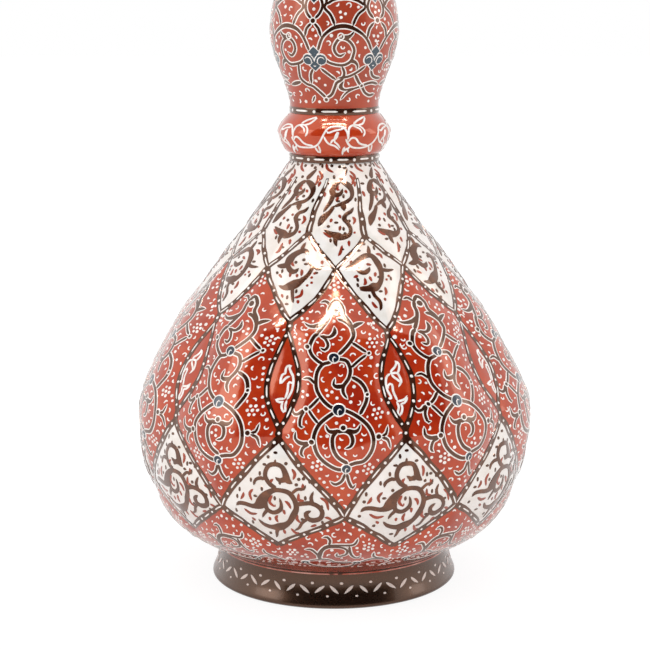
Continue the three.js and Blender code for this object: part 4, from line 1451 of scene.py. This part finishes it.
mouthPattern = {
    "repeats": 8, "tip": 31.0, "fullness": 0.62, "band": 1.2, "leafWidth": 0.8, "near": 1.45,
    # How a kite's leaves are fitted to a lappet: sideways and in height
    "kiteFit": {"narrow": 0.8, "aside": 0.7, "from": 93, "to": 33.5, "stretch": 0.9},
    "scroll": {
        "width": 0.75,
        "loops": [
            [(0.2, 2.4), (-1.8, 4.6), (-2.4, 7.6), (-1.2, 10.2), (1.2, 12), (2.4, 14.8), (1.4, 17.6),
             (-1, 19.6), (-2.4, 22.4), (-1.4, 25.4), (0.2, 27.4), (0, 29.6, 0.35)],
        ],
        "horns": [
            [(-2.2, 6.4), (-0.2, 5.2, 1.1), (1.2, 6.4), (0.6, 8.2), (-0.4, 7.6, 0.35)],
            [(1.8, 13), (0, 13.4, 1.1), (-1.4, 15), (-0.6, 16.6), (0.4, 15.9, 0.35)],
            [(-2.2, 21.2), (-0.2, 21.4, 1.1), (1.2, 23), (0.6, 24.8), (-0.4, 24, 0.35)],
            [(2, 16.6), (3.8, 17.6, 1.1), (4.2, 19.6, 0.35)], [(-2, 24), (-4, 25, 1.1), (-4.6, 27, 0.35)],
            [(2.9, 3.4, 0.35), (3.6, 5, 1.1), (3.4, 7.2)],
        ],
        "rings": [(3.6, 8.2, 0.5), (-4.2, 12.8, 0.5), (4.2, 21, 0.55), (-4, 19.4, 0.5), (3.4, 26.6, 0.6)],
    },
}


def mouthRepeat(s):
    # The width of one repeat of the mouth's pattern
    return mouthSurface.around(s) / mouthPattern["repeats"]


def lappetEdge(s):
    # Half the lappet's width as a share of a repeat, growing from its tip to the rim
    share = np.clip((s - mouthPattern["tip"]) / (mouthSurface.length - mouthPattern["tip"]), 0, 1)
    return 0.5 * share ** mouthPattern["fullness"]


def markLappets(piece):
    # How far each point of the mouth lies inside an ivory lappet; the inner wall is all pale
    count = len(piece.data.vertices)
    place = np.zeros(count * 3)
    piece.data.vertices.foreach_get("co", place)
    x, y, z = place.reshape(-1, 3).T / millimetre
    s = mouthSurface.sOf(z)
    r = mouthSurface.at(s, "r")
    isOutside = np.hypot(x, y) > r - 0.3
    turns = np.arctan2(x, -y) / (2 * math.pi) * mouthPattern["repeats"]
    inside = (lappetEdge(s) - np.abs(turns - np.round(turns))) * 2 * math.pi * r / mouthPattern["repeats"]
    markPanels(piece, np.where(isOutside, inside, allPale))


def underLappets(x, s, reach):
    # Inside one repeat, below the lappets and clear of their bands
    half = mouthRepeat(s) / 2
    lappet = float(lappetEdge(s)) * 2 * half
    return s > 1 + reach and abs(x) < half - reach * 0.5 and half - abs(x) > lappet + reach + 0.8


def onLappet(p):
    fit = mouthPattern["kiteFit"]
    return (fit["narrow"] * (p[0] + fit["aside"]), fit["to"] + fit["stretch"] * (p[1] - fit["from"]), *p[2:])


markLappets(mouth)
mouthLeaves = Strokes("mouth_arabesques", "neck_enamel", "brown")
mouthCommas = Strokes("mouth_rust_strokes", "neck_enamel", "rust")
mouthDots = Strokes("mouth_brown_dots", "neck_enamel", "dark")
mouthBands = Strokes("mouth_bands", "neck_enamel", "dark")
mouthBandMarks = Strokes("mouth_band_marks", "neck_enamel", "white")
for k in range(mouthPattern["repeats"]):
    spot = Spot(mouthSurface, 360 / mouthPattern["repeats"] * k)
    between = Spot(mouthSurface, spot.turn + 180 / mouthPattern["repeats"])
    for side in (-1, 1):
        line = [(side * float(lappetEdge(s)) * mouthRepeat(s), s)
                for s in np.linspace(mouthPattern["tip"], mouthSurface.length - 1.4, 9)]
        mouthBands.stroke(spot, brush(line, 0.8, mouthPattern["band"]), bands["lift"])
        dashed(spot, mouthBandMarks, line)
    drawScroll(mouthPattern["scroll"], between, neckScrolls, neckEdges)
    bounds = (-10, 10, 0, mouthSurface.length - 2)
    scatter(between, neckMarks, underLappets, bounds, mouthPattern["near"], marks["body"])
    motif = kiteA if k % 2 == 0 else kiteB
    drawLeaves(motif, spot, mouthLeaves, mouthCommas, mouthPattern["leafWidth"], 1, onLappet)
    for x, s in motif["dots"]:
        mouthDots.dot(spot, *onLappet((x, s)), rust["dot"], rust["lift"])
rimBand = ringPath(mouthSurface, mouthSurface.length - 1.5, 1.5, 96)
mouthBands.stroke(Spot(mouthSurface, 0), rimBand, bands["lift"], closed=True)
makeAll(neckScrolls, neckEdges, neckMarks, palmettes, palmetteLines, mouthBands, mouthBandMarks, mouthLeaves,
        mouthCommas, mouthDots)


# The collar's white vine

collarVine = {
    "repeats": 6, "turn": -20.0, "width": 0.58, "lift": 0.14,
    "below": 1.2, "narrow": 0.95, "height": 15.6, "stretch": 0.2, "stretchFrom": 8,
    "vines": [
        [(-9.3, 8.4), (-8, 6.7), (-6.6, 5.5), (-4.1, 5.2), (-1.2, 5.6), (0.6, 6.9), (2.2, 9.2),
         (3.1, 10.8), (4.5, 11.7), (6.7, 11.9), (8.4, 11.2), (9.5, 10), (9.9, 8.6)],
        [(-8.6, 8), (-8.4, 10), (-7.6, 11.4), (-6.2, 12), (-4.6, 12), (-3.4, 11.2), (-3, 9.9), (-3.7, 8.9)],
        [(-6.4, 12), (-4.4, 10.9), (-4, 9.8)],
        [(-5.8, 12.4), (-4.1, 13.4), (-2.3, 14.1), (-0.7, 14.6), (-1.6, 13.4), (-3, 12.4), (-4.4, 12.2)],
        [(-8.3, 7.4), (-7.6, 8.5), (-6.2, 8.5), (-4.8, 6.9), (-3.3, 6.2), (-1.4, 6)],
        [(-7.4, 6), (-7.8, 4.8), (-7.2, 3.7)], [(-0.8, 5.6), (0, 3.9), (0.7, 3.8), (0.4, 6.2)],
        [(2.4, 9), (3.1, 7.4), (4.2, 6.5), (5.6, 6), (6.7, 4.6)],
        [(4.2, 6.7), (4.9, 7.8), (6.3, 8.6), (6.8, 10.2), (6, 9.4), (5.6, 7.6), (6.4, 6.6), (6.9, 5.2)],
        [(3.1, 10.6), (3.8, 10), (5.6, 10.6), (8.1, 11.1)], [(7.3, 2.6), (7.7, 4.4), (8.6, 5.8)],
        [(7.7, 3.6), (8.6, 4.8), (9.8, 5.3)],
    ],
}
collarStrokes = Strokes("collar_vine", "collar_enamel", "white")


def onCollar(x, s):
    # Fits the vine to the collar; its upper part is stretched a little more
    s = s - collarVine["below"] + collarVine["stretch"] * max(s - collarVine["stretchFrom"], 0)
    return (collarVine["narrow"] * x, s * collarSurface.length / collarVine["height"])


for k in range(collarVine["repeats"]):
    spot = Spot(collarSurface, collarVine["turn"] + 360 / collarVine["repeats"] * k)
    for points in collarVine["vines"]:
        points = [onCollar(x, s) for x, s in swayed(points)]
        plain(spot, collarStrokes, points, collarVine["lift"], collarVine["width"])
makeAll(collarStrokes)


# Marks on the three joint bands and on the foot, and a painted reflection round the foot's top

bandMarks = {
    "lift": 0.13, "dotLift": 0.14, "dot": 0.5, "width": 0.55, "rise": 0.12,
    "bands": {
        "lower_joint_band": {"count": 12, "dash": 3.3, "turn": 9},
        "upper_joint_band": {"count": 9, "dash": 4.9, "turn": 32},
        "top_joint_band": {"count": 9, "dash": 4.6, "turn": 9},
    },
}
jointMarks = Strokes("joint_band_marks", "band_enamel", "white")
for node, sizes in bandMarks["bands"].items():
    surface = bandSurfaces[node]
    middle, half = surface.length / 2, sizes["dash"] / 2
    for k in range(sizes["count"]):
        spot = Spot(surface, 360 / sizes["count"] * k + sizes["turn"])
        dash = [(x, middle + bandMarks["rise"], bandMarks["width"]) for x in np.linspace(-half, half, 8)]
        jointMarks.stroke(spot, rounded(np.array(dash)), bandMarks["lift"])
        between = Spot(surface, spot.turn + 180 / sizes["count"])
        jointMarks.dot(between, 0, middle, bandMarks["dot"], bandMarks["dotLift"], 10)
makeAll(jointMarks)

footMarks = {
    "pairs": 26, "turn": 1.7, "width": 0.9, "low": 4.7, "high": 6.9, "lean": 1.35, "sway": 0.12, "lift": 0.13,
    "dot": 0.46, "dotShape": (1.2, 0.9), "above": 0.7, "below": 0.8, "reflectionWidth": 0.4, "reflectionLift": 0.12,
}
footStrokes = Strokes("foot_marks", "dark_enamel", "footMark")
# A painted reflection: a thin pink ring round the foot's top, where light catches its joint with the body
paintedFootReflection = Strokes("foot_painted_reflection", "dark_enamel", "reflectionPink")


def footDot(turn, s, radius):
    spot = Spot(footSurface, turn)
    footStrokes.dot(spot, random.uniform(-0.2, 0.2), s, radius, footMarks["lift"], 8, footMarks["dotShape"])


low, high = (float(footSurface.sOf(footMarks[key])) for key in ("low", "high"))
half = footSurface.around(low) / footMarks["pairs"] / 4
for k in range(footMarks["pairs"]):
    turn = 360 / footMarks["pairs"] * k + footMarks["turn"]
    for side in (-1, 1):
        lean = footMarks["lean"] * random.uniform(0.85, 1.1)
        ends = [(side * (half - lean), low, 0.35), (side * half, (low + high) / 2, 1.1),
                (side * (half + lean), high, 0.5)]
        points = [(x, s, w * footMarks["width"]) for x, s, w in swayed(ends, footMarks["sway"])]
        plain(Spot(footSurface, turn), footStrokes, points, footMarks["lift"], step=0.5)
    footDot(turn, high + footMarks["above"], footMarks["dot"])
    footDot(turn + 180 / footMarks["pairs"], low - footMarks["below"], 0.85 * footMarks["dot"])
# The painted reflection's ring, just under the foot's top edge
reflectionRing = ringPath(footSurface, footSurface.length - footMarks["reflectionWidth"], footMarks["reflectionWidth"], 180)
paintedFootReflection.stroke(Spot(footSurface, 0), reflectionRing, footMarks["reflectionLift"], closed=True)
makeAll(footStrokes, paintedFootReflection)


# Camera, light and floor

view = {"turn": -1.7, "aside": -2.75, "distance": 563.9, "height": 188.7, "down": 11.118, "focus": 104.5}


def addCamera():
    turn, down = math.radians(view["turn"]), math.radians(view["down"])
    right = Vector((math.cos(turn), math.sin(turn), 0))
    away = Vector((math.sin(turn), -math.cos(turn), 0))
    place = away * view["distance"] + right * view["aside"] + Vector((0, 0, view["height"]))
    look = -away * math.cos(down) - Vector((0, 0, math.sin(down)))
    camera = bpy.data.objects.new("camera", bpy.data.cameras.new("camera"))
    camera.data.lens = view["focus"]
    camera.data.sensor_width = 36
    camera.data.clip_start = 0.01
    camera.location = place * millimetre
    camera.rotation_euler = look.to_track_quat("-Z", "Y").to_euler()
    bpy.context.scene.collection.objects.link(camera)
    bpy.context.scene.camera = camera


# Places and sizes are in metres. A lamp gives "shine" if only reflections show it, "colour" if they don't,
# or "both".
studio = {
    "camera": 1.0, "around": 1.03, "aim": 0.08, "floorSize": 6,
    "lamps": {
        "overhead": {"turn": -2, "up": 68.5, "away": 0.85, "size": (0.52, 0.05), "watts": 2.3,
                     "gives": "shine"},
        "strip": {"turn": 0, "up": 81, "away": 0.85, "size": (0.5, 0.02), "watts": 1.2, "gives": "shine"},
        "leftWindow": {"turn": -68, "up": 30, "away": 1.1, "size": (0.5, 0.7), "watts": 1.8, "gives": "both"},
        "rightWindow": {"turn": 84, "up": 25, "away": 1.1, "size": (0.3, 0.7), "watts": 0.9, "gives": "both"},
        "front": {"turn": 0, "up": 8, "away": 1.2, "size": (0.8, 0.8), "watts": 1.8, "gives": "colour"},
    },
    # The corners of the dark end of the room
    "darkRoom": [(-0.72, -0.62, 0.03), (1.05, -0.75, 0.03), (0.95, -0.5, 1.05), (-0.55, -0.4, 1.0)],
    "darkShade": 0.03, "floorColour": 0.78, "floorGlow": 0.78, "floorMirror": 0.5, "glow": 1.13,
}


def addWorld():
    # White for the camera and in reflections; a little more on the object
    world = bpy.data.worlds.new("studio")
    tree = Tree(world)
    strength = tree.node("ShaderNodeMapRange", values={
        "Value": tree.isSeen("Camera") + tree.isSeen("Glossy"),
        "To Min": studio["around"], "To Max": studio["camera"]})
    tree.to("Background", "Strength", strength)
    tree.nodes["Background"].inputs["Color"].default_value = (1, 1, 1, 1)
    bpy.context.scene.world = world


def addLamp(name, turn, up, away, size, watts, gives):
    # Some lamps give only a highlight and some only light, so the colours keep their plain level
    lamp = bpy.data.objects.new(name, bpy.data.lights.new(name, "AREA"))
    lamp.data.shape = "RECTANGLE"
    lamp.data.size, lamp.data.size_y = size
    lamp.data.energy = watts
    turn, up = math.radians(turn), math.radians(up)
    back = Vector((math.sin(turn) * math.cos(up), -math.cos(turn) * math.cos(up), math.sin(up)))
    lamp.location = Vector((0, 0, studio["aim"])) + back * away
    lamp.rotation_euler = (-back).to_track_quat("-Z", "Y").to_euler()
    lamp.visible_diffuse = gives != "shine"
    lamp.visible_glossy = gives != "colour"
    bpy.context.scene.collection.objects.link(lamp)


def mattePaint(name, shade):
    return Paint(name, Base_Color=(shade, shade, shade, 1), Roughness=0.9, Specular_IOR_Level=0.0)


def addFloor():
    # The floor keeps the vase's shadow and glows up to the white around it, for the camera and in reflections
    bpy.ops.mesh.primitive_plane_add(size=studio["floorSize"], location=(0, 0, 0))
    floor = bpy.context.active_object
    floor.name = "floor"
    paint = mattePaint("floorPaint", studio["floorColour"])
    glow = paint.node("ShaderNodeEmission", values={"Color": (1, 1, 1, 1), "Strength": studio["glow"]})
    share = (paint.isSeen("Camera") + paint.isSeen("Glossy") * studio["floorMirror"]) * studio["floorGlow"]
    matte = Wire(paint, paint.shader.outputs[0])
    mixed = paint.node("ShaderNodeMixShader", values={0: share, 1: matte, 2: glow})
    paint.to("Material Output", "Surface", mixed)
    floor.data.materials.append(paint.material)


def addDarkRoom():
    # The unlit room behind the camera, which only reflections show
    paint = mattePaint("darkRoomPaint", studio["darkShade"])
    card = meshPiece("darkRoom", studio["darkRoom"], [(0, 1, 2, 3)], paint.material, smooth=False)
    card.visible_camera = card.visible_diffuse = card.visible_shadow = card.visible_transmission = False


addCamera()
addWorld()
for name, lamp in studio["lamps"].items():
    addLamp(name, **lamp)
addFloor()
addDarkRoom()
print("camera, light and floor ready")
bpy.context.scene.view_settings.view_transform = "Standard"
